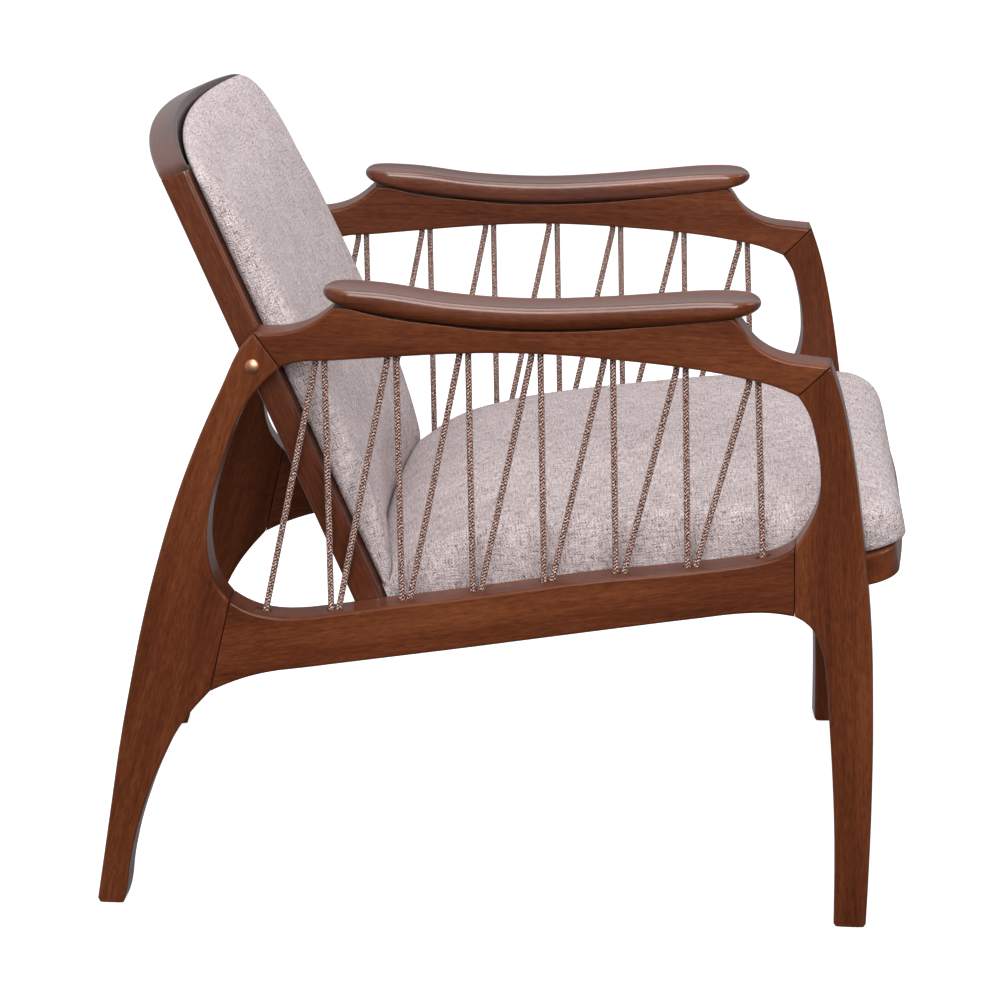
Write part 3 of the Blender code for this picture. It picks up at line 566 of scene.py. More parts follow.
def plate(name, node, matrix, plane, depth, material, along, joints=JOINTS, radius=EDGE_R, small=JOINT_R,
          tight=lambda p: False, seed=0):
    """A CAD plate again with rounded edges and open joint lines. Its outline lies at local z = plane and it
    runs to plane + depth. The grain runs along along, and tight says where an edge stays crisp and, above
    the floor, gets painted shade."""
    loop = refined(ccw(outline_of(node, matrix, plane)))
    middles = (loop + np.roll(loop, -1, 0)) / 2
    jointed = np.array([on_joint(m, joints) for m in middles])
    close = np.array([bool(tight(m)) for m in middles])
    radii = np.where(jointed, small, np.where(close, CRISP_R, radius))
    steps = insets(loop, radii)
    deep = np.maximum(radii, np.roll(radii, 1))
    # Crisp edges above the floor, as on the arm rail's top under the armrest, get painted shade with the
    # dark joints.
    joint_or_shaded = jointed | (close & (middles[:, 1] > 0.1))
    at_joint = np.maximum(joint_or_shaded, np.roll(joint_or_shaded, 1)).astype(float)
    rings, edge, joint = [], [], []
    sign = math.copysign(1, depth)
    turns = np.radians((0, 15, 30, 45, 60, 75, 90))
    for outer in (True, False):
        for angle in turns if outer else turns[::-1]:
            flat = loop + steps * (1 - math.sin(angle))
            drop = deep * (1 - math.cos(angle))
            z = plane + sign * drop if outer else plane + depth - sign * drop
            rings.append(np.column_stack((flat, z)))
            # The edge value, highest half way round each rounded edge, lightens it for wear and a painted
            # highlight.
            edge.append(np.full(len(loop), math.sin(2 * angle) if angle < 1.5 else 0.25))
            joint.append(at_joint * max(0.0, math.sin(angle)) ** 1.5)
    count = len(loop)
    points = np.concatenate(rings)
    faces = []
    for i in range(len(rings) - 1):
        faces += loop_faces(count, i * count, (i + 1) * count)
    last = (len(rings) - 1) * count
    for start, ring in ((0, rings[0]), (last, rings[-1])):
        cap = tessellate_polygon([[Vector((p[0], p[1], 0)) for p in ring]])
        faces += [tuple(start + k for k in triangle) for triangle in cap]
    along = np.array(along, float) / np.linalg.norm(along)
    across = np.array((-along[1], along[0]))
    grain = np.column_stack((points[:, :2] @ along, points[:, :2] @ across, points[:, 2]))
    grain += seed * np.array((1.37, 0.211, 0.173))
    return make_piece(name, through(matrix, points), faces, material, node, "stained_wood", grain=grain,
                      edge=np.concatenate(edge), joint=np.concatenate(joint))


def edge_height(outline, s):
    points = sorted(outline)
    return np.interp(np.asarray(s) / MM, [p[0] for p in points], [p[1] for p in points]) * MM


# Side frames


def upper_stations():
    return [LACE_UPPER_S - LACE_PITCH * i for i in range(LACE_LOWER_COUNT - 1)]


def lower_stations():
    return [LACE_LOWER_S - LACE_PITCH * i for i in range(LACE_LOWER_COUNT)]


def cut_pockets(rail, side, outline, stations, width, upwards):
    """The slots in a rail's edge that hold the loops of the cord."""
    bm = bmesh.new()
    for s in stations:
        z = edge_height(outline, s) + upwards * (POCKET_DEPTH - POCKET_OPEN) / 2
        made = bmesh.ops.create_cube(bm, size=1.0)["verts"]
        bmesh.ops.scale(bm, vec=(width, POCKET_DEPTH + POCKET_OPEN, POCKET_WIDTH), verts=made)
        bmesh.ops.translate(bm, vec=(s, z, -side * MID_D), verts=made)
    mesh = bpy.data.meshes.new("pockets")
    bm.to_mesh(mesh)
    bm.free()
    mesh.transform(side_matrix(side))
    cutter = bpy.data.objects.new("pockets", mesh)
    bpy.context.scene.collection.objects.link(cutter)
    modifier = rail.modifiers.new("pockets", "BOOLEAN")
    modifier.operation = "DIFFERENCE"
    modifier.solver = "EXACT"
    modifier.use_self = True
    modifier.object = cutter
    weigh_normals(rail)
    apply_modifiers(rail)
    bpy.data.objects.remove(cutter)


def under_armrest(middle):
    within = ARM_SEAT[0] < middle[0] < ARM_SEAT[1]
    return within and middle[1] > edge_height(ARM_UNDER, middle[0]) - ARM_NEAR


def on_floor(middle):
    return middle[1] < CRISP_R


def eased(table, s):
    """A smooth curve through a table of millimetres, at s in metres."""
    xs, ys = np.array(sorted(table), float).T * MM
    slopes = np.gradient(ys, xs)
    i = np.clip(np.searchsorted(xs, s) - 1, 0, len(xs) - 2)
    step = xs[i + 1] - xs[i]
    t = np.clip((s - xs[i]) / step, 0, 1)
    return ((2 * t**3 - 3 * t**2 + 1) * ys[i] + (3 * t**2 - 2 * t**3) * ys[i + 1]
            + step * ((t**3 - 2 * t**2 + t) * slopes[i] + (t**3 - t**2) * slopes[i + 1]))


def arm_section(half, thick):
    """(d, z) round a bullnosed section with a crisp edge to its slightly dished top, about its middle."""
    nose = min(ARM_NOSE, half * 0.45)
    flat = half - nose
    turn = np.radians(np.concatenate((np.linspace(-90, 0, 9), (15, 28, 36, 42, 48, 54, 62, 75, 88))))
    power = np.where(turn > 0, 0.55, 0.9)
    side_d = flat + nose * np.cos(turn).clip(0) ** power
    side_z = thick * np.sign(np.sin(turn)) * np.abs(np.sin(turn)) ** power
    low = turn < 0
    curl = min(ARM_CURL, half * 0.6)
    side_d[low], side_z[low] = half - curl + curl * np.cos(turn[low]).clip(0), thick * np.sin(turn[low])
    inner = side_d[-1]
    across = np.linspace(inner, -inner, 17)[1:-1]
    top = thick - ARM_DISH * (1 - (across / inner) ** 2) * min(1, half / 0.03)
    bottom = np.linspace(curl - half, half - curl, 9)[1:-1]
    d = np.concatenate((side_d, across, -side_d[::-1], bottom))
    z = np.concatenate((side_z, top, side_z[::-1], np.full(len(bottom), -thick)))
    return np.column_stack((d, z))


def tip(s, length):
    """How full an armrest is at s, where its tips are rounded over length."""
    near = min(1, max(0, min(s - ARM_FRONT, ARM_REAR - s)) / length)
    return math.sqrt(1 - (1 - near) ** 2)


def bow(s):
    """0 at an armrest's tips and 1 half way between them."""
    return 1 - np.minimum(1, np.abs((s - (ARM_FRONT + ARM_REAR) / 2) / (ARM_REAR - ARM_FRONT) * 2)) ** 2


def make_armrest(side, material):
    """Upper outer edges show wear and a painted highlight; the underside, in its own shade, is painted
    darker.
    """
    ends = ARM_TIP * (1 - np.cos(np.radians(np.linspace(3, 90, 24))))
    middle = np.linspace(ARM_FRONT + ARM_TIP, ARM_REAR - ARM_TIP, 60)[1:-1]
    rings, edge, under = [], [], []
    for s in np.concatenate((ARM_FRONT + ends, middle, (ARM_REAR - ends)[::-1])):
        low, high, half = (float(eased(table, s)) for table in (ARM_UNDER, ARM_TOP, ARM_HALF))
        half = half * tip(s, ARM_TIP_PLAN) - ARM_WAIST * bow(s)
        low, high = low + ARM_LIFT * bow(s), high + ARM_LIFT * bow(s)
        section = arm_section(half, (high - low) / 2 * tip(s, ARM_TIP_THICK))
        across, up = section.T
        ring = (np.full(len(section), s), up + (low + high) / 2, -side * (MID_D + across))
        rings.append(np.column_stack(ring))
        # Upper outer edges are lightened for wear and a painted highlight; the underside is darkened as
        # painted shade.
        edge.append(np.exp(-((np.abs(across) - half + 0.002) / 0.003) ** 2) * (up > 0.004))
        under.append(np.clip(-up / max(1e-4, -up.min()) - 0.62, 0, 0.38) / 0.38)
    points, faces = ring_piece(rings)
    grain = points[:, [0, 2, 1]] + (2.3 * (side + 2), 0.3, 0.1)
    name = f"armrest_{side_name(side)}"
    points = through(side_matrix(side), points)
    make_piece(name + "_form", points, faces, material, name, "stained_wood", sharp=70, grain=grain,
               edge=np.concatenate(edge), joint=np.concatenate(under))


def make_side_frame(side, material, arm_material):
    """The arm rail's top is lifted with the armrest on it, before its slots are cut."""
    tag, matrix = side_name(side), side_matrix(side)
    seed = 2 + side

    def piece(name, along, number, **more):
        return plate(f"{name}_{tag}_form", f"{name}_{tag}", matrix, 0.0, -side * FRAME_T, material, along,
                     seed=seed + 0.2 * number, **more)

    piece("rear_leg", (-0.28, 0.96), 0, tight=on_floor)
    piece("front_leg", (0.05, 1), 1, tight=on_floor)
    arm = piece("arm_rail", (1, 0.02), 2, tight=under_armrest)
    side_rail = piece("side_rail", (-0.988, 0.154), 3)
    local = through(matrix.inverted(), coordinates(arm.data))
    upper = local[:, 1] > edge_height(ARM_UNDER, local[:, 0]) - 0.006
    local[:, 1] += ARM_LIFT * bow(local[:, 0]) * upper
    set_coordinates(arm.data, through(matrix, local))
    cut_pockets(arm, side, ARM_RAIL_UNDER, upper_stations(), UPPER_POCKET, 1)
    cut_pockets(side_rail, side, SIDE_RAIL_TOP, lower_stations(), LOWER_POCKET, -1)
    make_armrest(side, arm_material)


def half_turn(s, z, radius, upwards):
    turn = np.linspace(0, math.pi, 13)
    return [(s + radius * math.cos(a), z + upwards * radius * math.sin(a)) for a in turn]


def lacing_route():
    """(s, z) points of the cord, from its rear end in the side rail to its front end."""
    lower = [(s, edge_height(SIDE_RAIL_TOP, s) - LOWER_LOOP) for s in lower_stations()]
    upper = [(s, edge_height(ARM_RAIL_UNDER, s) + UPPER_LOOP) for s in upper_stations()]
    route = [(lower[0][0], lower[0][1] - CORD_END)]
    for i, (s, z) in enumerate(upper):
        route += [(s + UPPER_LOOP_R, z - LEG), *half_turn(s, z, UPPER_LOOP_R, 1)]
        route += [(s - UPPER_LOOP_R, z - LEG)]
        if i < len(upper) - 1:
            route += half_turn(*lower[i + 1], LOWER_LOOP_R, -1)
    return np.array(route + [(lower[-1][0], lower[-1][1] - CORD_END)])


def even_path(points, step):
    """The polyline's points again, at even steps, with its corners eased."""
    length = np.concatenate(([0], np.cumsum(np.linalg.norm(np.diff(points, axis=0), axis=1))))
    at = np.linspace(0, length[-1], int(length[-1] / step) + 1)
    path = np.column_stack([np.interp(at, length, points[:, k]) for k in range(points.shape[1])])
    for _ in range(6):
        path[1:-1] = (path[:-2] + 2 * path[1:-1] + path[2:]) / 4
    return path, at


def make_lacing(side, material):
    """A tube along the route that swells with each turn of its strands, with the braid's UV map."""
    path, at = even_path(lacing_route(), CORD_STEP)
    way = np.gradient(path, axis=0)
    way /= np.linalg.norm(way, axis=1)[:, None]
    out = np.column_stack((-way[:, 1], way[:, 0]))
    count = 12
    turn = np.linspace(0, 2 * math.pi, count, endpoint=False)
    swell = 0.99 + 0.045 * np.sin(at[:, None] * 2 * math.pi / BRAID_PITCH + 3 * turn[None, :])
    flat = path[:, None, :] + CORD_R * (np.cos(turn)[None, :] * swell)[..., None] * out[:, None, :]
    depth = -side * MID_D + CORD_R * np.sin(turn)[None, :] * swell
    points, faces = ring_piece(list(np.concatenate((flat, depth[..., None]), 2)))
    name = f"lacing_cord_{side_name(side)}"
    points = through(side_matrix(side), points)
    made = make_piece(name + "_form", points, faces, material, name, "braided_cord")
    mesh = made.data
    corner = values_of(mesh.loops, "vertex_index")
    starts, sides = (values_of(mesh.polygons, field) for field in ("loop_start", "loop_total"))
    round_at = (corner % count) / count
    for first, number in zip(starts, sides):
        if number == 4 and np.ptp(round_at[first:first + 4]) > 0.5:
            ring = round_at[first:first + 4]
            ring[ring < 0.5] += 1
    uv = np.column_stack((round_at, at[corner // count])).astype(np.float32)
    mesh.uv_layers.new(name="braid").data.foreach_set("uv", uv.ravel())


def make_cap(side, material):
    """The domed cap over the bolt that holds the back."""
    outwards = Vector((math.cos(SPLAY), side * math.sin(SPLAY), 0)) * side
    centre = side_matrix(side) @ Vector((BOLT_S, BOLT_Z, 0))
    matrix = Matrix.Translation(centre) @ outwards.to_track_quat("Z", "Y").to_matrix().to_4x4()
    count = 48
    turn = np.linspace(0, 2 * math.pi, count, endpoint=False)
    angles = np.radians(np.linspace(3, 84, 12))
    profile = [(CAP_R * math.sin(a), CAP_DOME * math.cos(a) + 0.0001) for a in angles]
    profile += [(CAP_R, 0.0002), (CAP_R, -CAP_REST)]
    rings = [np.column_stack((r * np.cos(turn), r * np.sin(turn), np.full(count, z))) for r, z in profile]
    points, faces = ring_piece(rings)
    name = f"bolt_cap_{side_name(side)}"
    make_piece(name + "_form", through(matrix, points), faces, material, name, "copper_cap")


# Back


def crest_top(x):
    across, up = CREST_CORNER
    past = max(0, abs(x) - (CREST_HALF - across)) / across
    corner = up * (1 - math.sqrt(max(0, 1 - past**2)))
    return CREST_TOP_V - CREST_ARCH * (x / CREST_HALF) ** 2 - corner


def rounded_section(low, high, rear, front, radii):
    """(v, g) round a rectangle with corner radii for lower rear, lower front, upper front and upper rear."""
    most = min(high - low, front - rear) * 0.49
    corners = ((low, rear, 1, 1, 180), (low, front, 1, -1, 90),
               (high, front, -1, -1, 0), (high, rear, -1, 1, -90))
    points = []
    for (v, g, sv, sg, start), radius in zip(corners, radii):
        r = min(radius, most)
        for a in np.radians(np.linspace(start + 90, start, 7)):
            points.append((v + sv * r + r * math.cos(a), g + sg * r + r * math.sin(a)))
    return np.array(points)


def swept_back_piece(stations, span, rear, front, radii, end_r, swell=0.0):
    """Rings of a bar of the back through stations, and their places. Its rear and front draw in over end_r
    at its ends, and its rear swells towards its middle."""
    half = max(stations)
    rings, places = [], []
    for x in stations:
        near = half - abs(x)
        pull = 0 if near >= end_r else end_r * (1 - math.sqrt(max(0, 1 - (1 - near / end_r) ** 2)))
        low, high = span(x)
        back = rear + pull - swell * (1 - (x / half) ** 2)
        section = rounded_section(low, high, back, front - pull, radii)
        rings.append(back_point(np.full(len(section), x), section[:, 0], section[:, 1]))
        places.append(np.column_stack((np.full(len(section), x), section)))
    return rings, np.concatenate(places)


def bar_of_back(name, node, parts, material, seed):
    """One piece from the rings of overlapping bars: wear and a painted highlight on its top edge, painted
    shade on its front behind a pad.
    """
    points, faces, grain = [], [], []
    for rings, places in parts:
        start = sum(len(p) for p in points)
        found, sides = ring_piece(rings)
        faces += [tuple(start + i for i in face) for face in sides]
        points.append(found)
        grain.append(places)
    grain = np.concatenate(grain)
    # The top edge is lightened for wear and a painted highlight; the front face behind the pad is darkened
    # as painted shade.
    edge = np.clip(1 - np.abs(grain[:, 1] - grain[:, 1].max()) / 0.004, 0, 1) * 0.5
    shaded = np.clip((grain[:, 2] - CREST_DEPTH + 0.004) / 0.003, 0, 1) * 1.6
    make_piece(name, np.concatenate(points), faces, material, node, "stained_wood", sharp=50,
               grain=grain + (seed, 0.2 * seed, 0.1), edge=edge, joint=shaded)


def easing_ends(half, r, count):
    """Stations close to both ends of a bar of half length half, for an end rounded over r."""
    near = r * (1 - np.cos(np.radians(np.linspace(4, 90, count))))
    return [s * (half - n) for s in (-1, 1) for n in near]


def make_back(material):
    overlap, step_in = 0.002, 0.0006
    plain = [*np.linspace(-0.249, 0.249, 81)]
    main = swept_back_piece(sorted({*plain, *easing_ends(CREST_HALF, 0.016, 14)}),
                            lambda x: (CREST_BOTTOM_V, crest_top(x)), 0, CREST_DEPTH,
                            (0.0008, 0.0008, 0.0030, 0.0055), 0.004, CREST_SWELL)
    tongue = swept_back_piece([*np.linspace(-CREST_TONGUE_X, CREST_TONGUE_X, 61)],
                              lambda x: (CREST_TONGUE_V, CREST_BOTTOM_V + overlap), step_in,
                              CREST_DEPTH - step_in, (0.003, 0.003, 0.0005, 0.0005), 0.001)
    bar_of_back("crest_rail_form", "crest_rail", [main, tongue], material, 5.1)
    level = back_point(0.0, sum(LOWER_RAIL_V) / 2, 0.02)[1]
    half = float(inner_x(level, STILE_WIDTH + 3 * GAP)) - 0.0004
    lower = swept_back_piece([*np.linspace(-half, half, 61)], lambda x: LOWER_RAIL_V, *LOWER_RAIL_G,
                             (0.004,) * 4, 0.0004)
    bar_of_back("back_lower_rail_form", "back_lower_rail", [lower], material, 7.7)
    slope = np.array((math.sin(LEAN), math.cos(LEAN)))
    top = (((STILE_TOP_V * slope[0] / MM - 60, 0), (0, 0)),)
    for side in (-1, 1):
        node = f"stile_{side_name(side)}"
        plate(node + "_form", node, side_matrix(side), -side * (FRAME_T + GAP), -side * STILE_WIDTH,
              material, along=slope, joints=top, radius=0.004, small=0.0008,
              tight=lambda p: abs(p @ slope - stile_top()) < 0.002, seed=9 + side)


def stile_top():
    """How far up the stile's own slope its top lies, in its side frame's plane."""
    y = BACK_Y + STILE_TOP_V * math.sin(LEAN)
    s = y / math.cos(SPLAY) + (FRAME_T + STILE_WIDTH / 2) * math.tan(SPLAY)
    return s * math.sin(LEAN) + STILE_TOP_V * math.cos(LEAN) ** 2


# Seat frame


def make_front_rail(material):
    """Its face lies a little further back than in CAD."""
    made = plate("seat_front_rail_form", "seat_front_rail", seat_matrix(), 0.0, -SEAT_RAIL_H, material,
                 along=(1, 0), joints=(), radius=FRONT_RAIL_R, seed=12)
    x, u, w = seat_place(coordinates(made.data))
    u += FRONT_RAIL_BACK * np.clip(1 - u / FRONT_RAIL_REACH, 0, 1)
    set_coordinates(made.data, seat_point(x, u, w))


# Pads


def mirrored(values):
    return sorted({-value for value in values} | set(values))


def lattice(xs, ys, zs, place):
    """Points and faces of a box of cells between the stations, its surface corners put by place."""
    found, points, faces = {}, [], []

    def corner(key):
        if key not in found:
            found[key] = len(points)
            points.append(place(xs[key[0]], ys[key[1]], zs[key[2]]))
        return found[key]

    sides = (len(xs) - 1, len(ys) - 1, len(zs) - 1)
    for axis in range(3):
        p, q = [a for a in range(3) if a != axis]
        for end in (0, sides[axis]):
            for a in range(sides[p]):
                for b in range(sides[q]):
                    ring = []
                    for da, db in ((0, 0), (1, 0), (1, 1), (0, 1)):
                        index = [end, end, end]
                        index[p], index[q] = a + da, b + db
                        ring.append(corner(tuple(index)))
                    faces.append(ring)
    return np.array(points), faces


def fall(distance, ease):
    """How full a soft form is at a distance inwards from its edge: 0 on the edge, 1 from ease on."""
    return (1 - (1 - min(1, max(0, distance) / ease)) ** 2.3) ** (1 / 2.3)


def tucked(depth, c, over):
    """How far a pad's side draws in at c, where it curls under by depth over the first part of c."""
    return depth * (1 - math.sqrt(1 - (1 - min(1, c / over)) ** 2))


def crowned(a, b):
    """How full a pad's crown is: 1 in its middle, 0 at its sides."""
    return (1 - a**2) * (1 - (2 * b - 1) ** 4)


def back_pad_point(a, b, c):
    """a runs -1 to 1 across, b 0 to 1 up the slope, c 0 at the rear to 1 at the front."""
    across, down = BACK_PAD_CORNER
    tuck = tucked(BACK_PAD_TUCK, c, 0.35)
    x = a * (PAD_HALF - tuck)
    past = max(0, abs(x) - (PAD_HALF - across)) / across
    top = BACK_PAD_V[1] - BACK_PAD_ARCH * a**2 - down * (1 - math.sqrt(max(0, 1 - past**2))) - tuck
    v = BACK_PAD_V[0] + (top - BACK_PAD_V[0]) * b
    full = 0.46 + 0.54 * fall(PAD_HALF - abs(x), BACK_PAD_EASE)
    thick = float(eased(BACK_PROFILE, b * 100 * MM) * full)
    return back_point(x, v, BACK_PAD_REAR + c * (thick + BACK_PAD_CROWN * crowned(a, b)))


def seat_pad_point(a, b, c):
    """a runs -1 to 1 across, b 0 to 1 from front to rear, c 0 at the bottom to 1 at the top."""
    first, last = SEAT_PAD_U
    u = first + (last - first) * b
    height = float(eased(SEAT_PROFILE, u))
    half = float(inner_x(seat_point(0.0, u, height * c)[1], SEAT_PAD_SIDE))
    past = 1 - min(1, (u - first) / SEAT_PAD_CORNER)
    half -= SEAT_PAD_CORNER * (1 - math.sqrt(1 - past**2))
    full = 0.52 + 0.48 * fall((1 - abs(a)) * half, SEAT_PAD_EASE)
    w = 2 * GAP + c * (height * full + SEAT_PAD_CROWN * crowned(a, b))
    tuck = tucked(SEAT_PAD_TUCK, c, 0.4)
    return seat_point(a * (half - tuck), u + tuck * max(0, 1 - 4 * b), w)


def inflate(made, held, cap, pressure=4.0, frames=20):
    """Blows the form up as cloth, with its held points pinned. A fifth of any inward movement is kept, and
    no point moves further than cap."""
    rest = coordinates(made.data)
    group = made.vertex_groups.new(name="held")
    for index in np.nonzero(held)[0]:
        group.add([int(index)], 1.0, "REPLACE")
    cloth = made.modifiers.new("cloth", "CLOTH")
    settings = cloth.settings
    settings.quality = 4
    settings.use_pressure = True
    settings.uniform_pressure_force = pressure
    settings.vertex_group_mass = "held"
    settings.effector_weights.gravity = 0
    cloth.point_cache.frame_start, cloth.point_cache.frame_end = 1, frames
    for number in range(1, frames + 1):
        bpy.context.scene.frame_set(number)
    moved = coordinates(evaluated_mesh(made)) - rest
    made.modifiers.remove(cloth)
    bpy.context.scene.frame_set(1)
    normals = values_of(made.data.vertex_normals, "vector", np.float32, 3).reshape(-1, 3)
    outwards = (moved * normals).sum(1)
    moved -= (0.8 * np.minimum(outwards, 0))[:, None] * normals
    length = np.linalg.norm(moved, axis=1)
    moved *= (cap * np.tanh(length / cap) / np.maximum(length, 1e-9))[:, None]
    set_coordinates(made.data, rest + moved)


def smooth_mesh(made, factor, rounds):
    relax = made.modifiers.new("relax", "SMOOTH")
    relax.factor, relax.iterations = factor, rounds
    apply_modifiers(made)


def subdivide(made):
    fine = made.modifiers.new("fine", "SUBSURF")
    fine.levels = fine.render_levels = 1
    apply_modifiers(made)


def weave_uv(mesh, places):
    """A UV map in metres from each face's nearest of three planes of the given (a, b, c) places."""
    sides = values_of(mesh.polygons, "loop_total")
    owner = np.repeat(np.arange(len(sides)), sides)
    first = np.concatenate(([0], np.cumsum(sides)[:-1]))
    spots = places[values_of(mesh.loops, "vertex_index")]
    one = spots[first + 1] - spots[first]
    two = spots[first + 2] - spots[first]
    facing = np.abs(np.cross(one, two)) * (1, 1, 1.25)
    axis = facing.argmax(1)[owner][:, None]
    from_side, from_front, from_above = spots[:, [1, 2]], spots[:, [0, 2]], spots[:, [0, 1]]
    uv = np.where(axis == 0, from_side, np.where(axis == 1, from_front, from_above))
    mesh.uv_layers.new(name="weave").data.foreach_set("uv", uv.astype(np.float32).ravel())


def finish_pad(made, name, material, node):
    made.name = name
    made.data.name = name
    made.data.materials.clear()
    made.data.materials.append(material)
    made.data.shade_smooth()
    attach(made, "root")
    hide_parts(node)


def make_back_pad(material):
    across = mirrored((*np.linspace(0, 0.90, 32), *np.linspace(0.92, 0.985, 6), 0.995, 1))
    upwards = (0, 0.004, *np.linspace(0.012, 0.05, 4), *np.linspace(0.065, 0.93, 58),
               *np.linspace(0.94, 0.99, 6), 0.996, 1)
    depths = (0, 0.04, 0.12, 0.22, 0.35, 0.55, 0.75, 0.92, 1)
    points, faces = lattice(across, upwards, depths, back_pad_point)
    made = mesh_object("back_pad_form", points, faces)
    x, v, g = back_place(coordinates(made.data))
    inflate(made, g < BACK_PAD_REAR + 0.0048, MOST_SWELL)
    smooth_mesh(made, 0.5, 4)
    subdivide(made)
    x, v, g = back_place(coordinates(made.data))
    margin = 0.004
    behind = (np.abs(x) < PANEL_HALF + margin) & (v > PANEL_V[0] - margin) & (v < PANEL_V[1] + margin)
    least = CREST_DEPTH + PAD_REST
    g = np.where(behind, np.maximum(g, PANEL_FRONT_G + PAD_REST), np.maximum(g, least))
    set_coordinates(made.data, back_point(x, v, g))
    weave_uv(made.data, np.column_stack((x, v, g)))
    finish_pad(made, "back_pad_form", material, "back_pad")
    return made


def clear_of_back(points, back_pad):
    """Moves the points that lie in the back pad or the stiles forwards, to rest against them."""
    ahead, near = 0.12, 0.110
    mesh = back_pad.data
    tree = BVHTree.FromPolygons([v.co for v in mesh.vertices], [p.vertices for p in mesh.polygons])
    x, v, g = back_place(points)
    rearwards = Vector((0, math.cos(LEAN), -math.sin(LEAN)))
    least = np.full(len(points), 0.0300)
    for i in np.nonzero((v > BACK_PAD_V[0] - 0.01) & (g < near))[0]:
        start = Vector(points[i]) - rearwards * ahead
        hit = tree.ray_cast(start, rearwards, 0.3)[0]
        if hit is not None:
            least[i] = g[i] + ahead - (hit - start).length + PAD_REST
    return back_point(x, v, np.maximum(g, least))


def pucker(x, u, w, y):
    """How far the seat pad's side draws in, in uneven folds along its lower edge."""
    bottom, height, reach = 0.013, 0.011, 0.018
    phase = np.array([noise.noise(Vector((19.0 * p, 0.0, 2.0 * np.sign(q)))) for p, q in zip(u, x)])
    side = np.clip((np.abs(x) - inner_x(y, 0.030)) / reach, 0, 1) * np.exp(-((w - bottom) / height) ** 2)
    return PUCKER_DEPTH * side * (0.5 + 0.5 * np.sin(2 * math.pi * u / PUCKER_PITCH + 7 * phase))


def make_seat_pad(material, back_pad):
    across = mirrored((*np.linspace(0, 0.90, 34), *np.linspace(0.915, 0.99, 7), 1))
    along = (0, 0.003, 0.008, *np.linspace(0.015, 0.11, 11), *np.linspace(0.125, 0.88, 50),
             *np.linspace(0.89, 1, 9))
    heights = (0, 0.05, 0.14, 0.26, 0.40, 0.56, 0.75, 0.92, 1)
    points, faces = lattice(across, along, heights, seat_pad_point)
    made = mesh_object("seat_pad_form", points, faces)
    x, u, w = seat_place(coordinates(made.data))
    inflate(made, w < 0.004, MOST_SWELL)
    smooth_mesh(made, 0.5, 4)
    subdivide(made)
    spots = coordinates(made.data)
    x, u, w = seat_place(spots)
    x -= np.sign(x) * pucker(x, u, w, spots[:, 1])
    margin = 0.004
    over = (u > BOARD_U[0] - margin) & (u < BOARD_U[1] + margin)
    over &= np.abs(x) < inner_x(spots[:, 1], BOARD_SIDE - margin)
    w = np.where(over, np.maximum(w, BOARD_T + 0.0010), np.maximum(w, PAD_REST))
    set_coordinates(made.data, clear_of_back(seat_point(x, u, w), back_pad))
    weave_uv(made.data, np.column_stack(seat_place(coordinates(made.data))))
    finish_pad(made, "seat_pad_form", material, "seat_pad")


# Stage


def make_camera():
    tilt, turn, roll = 0.26825, 0.0387, math.radians(0.03)
    ahead = Vector((math.cos(tilt) * math.cos(turn), math.cos(tilt) * math.sin(turn), -math.sin(tilt)))
    right = Vector((math.sin(turn), -math.cos(turn), 0))
    up = right.cross(ahead)
    facing = Matrix((right, up, -ahead)).transposed() @ Matrix.Rotation(roll, 3, "Z")
    camera = bpy.data.cameras.new("camera")
    camera.lens, camera.sensor_width = 154.8, 36
    camera.clip_end = 100
    made = bpy.data.objects.new("camera", camera)
    made.matrix_world = Matrix.Translation((-4.338, -0.1593, 1.5324)) @ facing.to_4x4()
    bpy.context.scene.collection.objects.link(made)
    bpy.context.scene.camera = made


def make_light(name, place, target, size, power, colour=(1, 1, 1)):
    light = bpy.data.lights.new(name, "AREA")
    light.shape = "RECTANGLE"
    light.size, light.size_y = size
    light.energy = power
    light.color = colour
    made = bpy.data.objects.new(name, light)
    made.location = place
    made.rotation_euler = (Vector(target) - Vector(place)).to_track_quat("-Z", "Y").to_euler()
    bpy.context.scene.collection.objects.link(made)


def make_world():
    """A pale sky, brighter high up towards the chair's rear left."""
    world = bpy.data.worlds.new("studio")
    bpy.context.scene.world = world
    world.use_nodes = True
    tree = world.node_tree
    way = add(tree, "TexCoord", {}).outputs["Generated"]
    bright_side = (0.50, 0.46, 0.73)
    toward = add(tree, "VectorMath", {0: way, 1: bright_side}, operation="DOT_PRODUCT").outputs["Value"]
    limits = {"From Min": -0.5, "From Max": 0.5, "To Min": 0.05, "To Max": 0.50}
    strength = add(tree, "MapRange", {"Value": toward, **limits})
    put(tree, tree.nodes["Background"].inputs["Strength"], strength.outputs[0])
    tree.nodes["Background"].inputs["Color"].default_value = (0.985, 0.965, 1, 1)


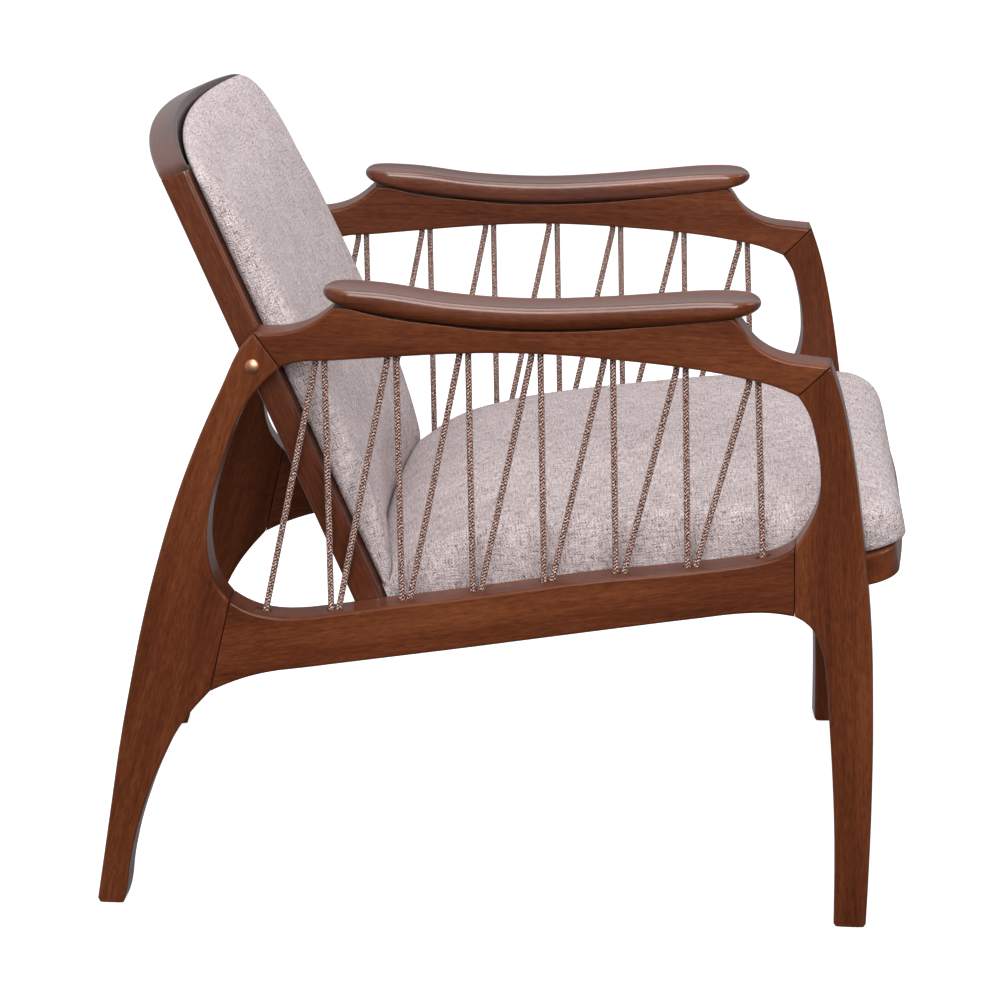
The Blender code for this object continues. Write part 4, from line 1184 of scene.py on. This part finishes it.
def make_stage():
    mesh = bpy.data.meshes.new("floor")
    far = 30
    mesh.from_pydata([(-far, -far, 0), (far, -far, 0), (far, far, 0), (-far, far, 0)], [], [(0, 1, 2, 3)])
    floor = bpy.data.objects.new("floor", mesh)
    floor.location.z = -0.0005
    bpy.context.scene.collection.objects.link(floor)
    material, tree, shader = new_material("floor")
    grit = noise_of(tree, add(tree, "TexCoord", {}).outputs["Object"], (3, 3, 3), 2, 0.5)
    pale = ramp(tree, grit, [(0.3, (0.62, 0.62, 0.62)), (0.7, (0.66, 0.66, 0.66))])
    put(tree, shader.inputs["Base Color"], pale)
    constants(shader, {"Roughness": 0.9, "Specular IOR Level": 0.1,
                       "Emission Color": (1, 1, 1, 1), "Emission Strength": 0.78})
    mesh.materials.append(material)
    floor.visible_glossy = False
    floor.visible_diffuse = False
    make_light("key", (-3.8, -0.4, 2.2), (0, 0, 0.4), (2.6, 2.0), 158)
    make_light("front", (0.3, -3.2, 2.5), (0, 0, 0.4), (1.8, 1.8), 28)
    make_light("top", (-0.15, 0.1, 2.7), (0, 0.1, 0.4), (0.8, 3.2), 37)
    bpy.context.scene.view_settings.view_transform = "Standard"


# The chair


def finish_cad_nodes():
    """Procedural finishes for the CAD nodes that stay as they are."""
    along_x, along_y = (0, 0, 0), (0, 0, math.radians(90))
    finishes = {
        "seat_side_rail": wood("stained_rail_y", DARK_STAIN, along_y, wear_and_painted_light=False),
        "seat_rear_rail": wood("stained_rail_x", DARK_STAIN, along_x, wear_and_painted_light=False),
        "back_panel": wood("stained_panel", DARK_STAIN, along_x, 0.4, wear_and_painted_light=False),
        "seat_board": wood("plywood", PLY_STAIN, along_x, 0.55, wear_and_painted_light=False),
        "tenon": wood("beech_tenon", BEECH, along_y, 0.6, wear_and_painted_light=False),
        "dowel": wood("beech_dowel", BEECH, along_x, 0.6, wear_and_painted_light=False),
        "screw": metal("steel", (0.58, 0.58, 0.6), 0.32, (900, 900, 900)),
    }
    finishes["bolt"] = finishes["screw"]
    for name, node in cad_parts.items():
        if node.hide_render:
            continue
        for key, finish in finishes.items():
            if key in name:
                node.material_slots[0].material = finish
                break
        else:
            raise ValueError(f"{name} has no finish")


def main():
    stained = wood("stained_wood_grain", DARK_STAIN)
    satin = wood("stained_frame_grain", FRAME_STAIN, shine=0.2, coat=0.08)
    rope = braid("cord_braid")
    copper = metal("copper", (0.95, 0.44, 0.25), 0.40, (700, 700, 700))
    for side in (-1, 1):
        make_side_frame(side, satin, stained)
        make_lacing(side, rope)
        make_cap(side, copper)
    make_back(stained)
    make_front_rail(satin)
    cloth = linen("linen_weave")
    make_seat_pad(cloth, make_back_pad(cloth))
    finish_cad_nodes()
    make_camera()
    make_world()
    make_stage()
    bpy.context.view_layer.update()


main()
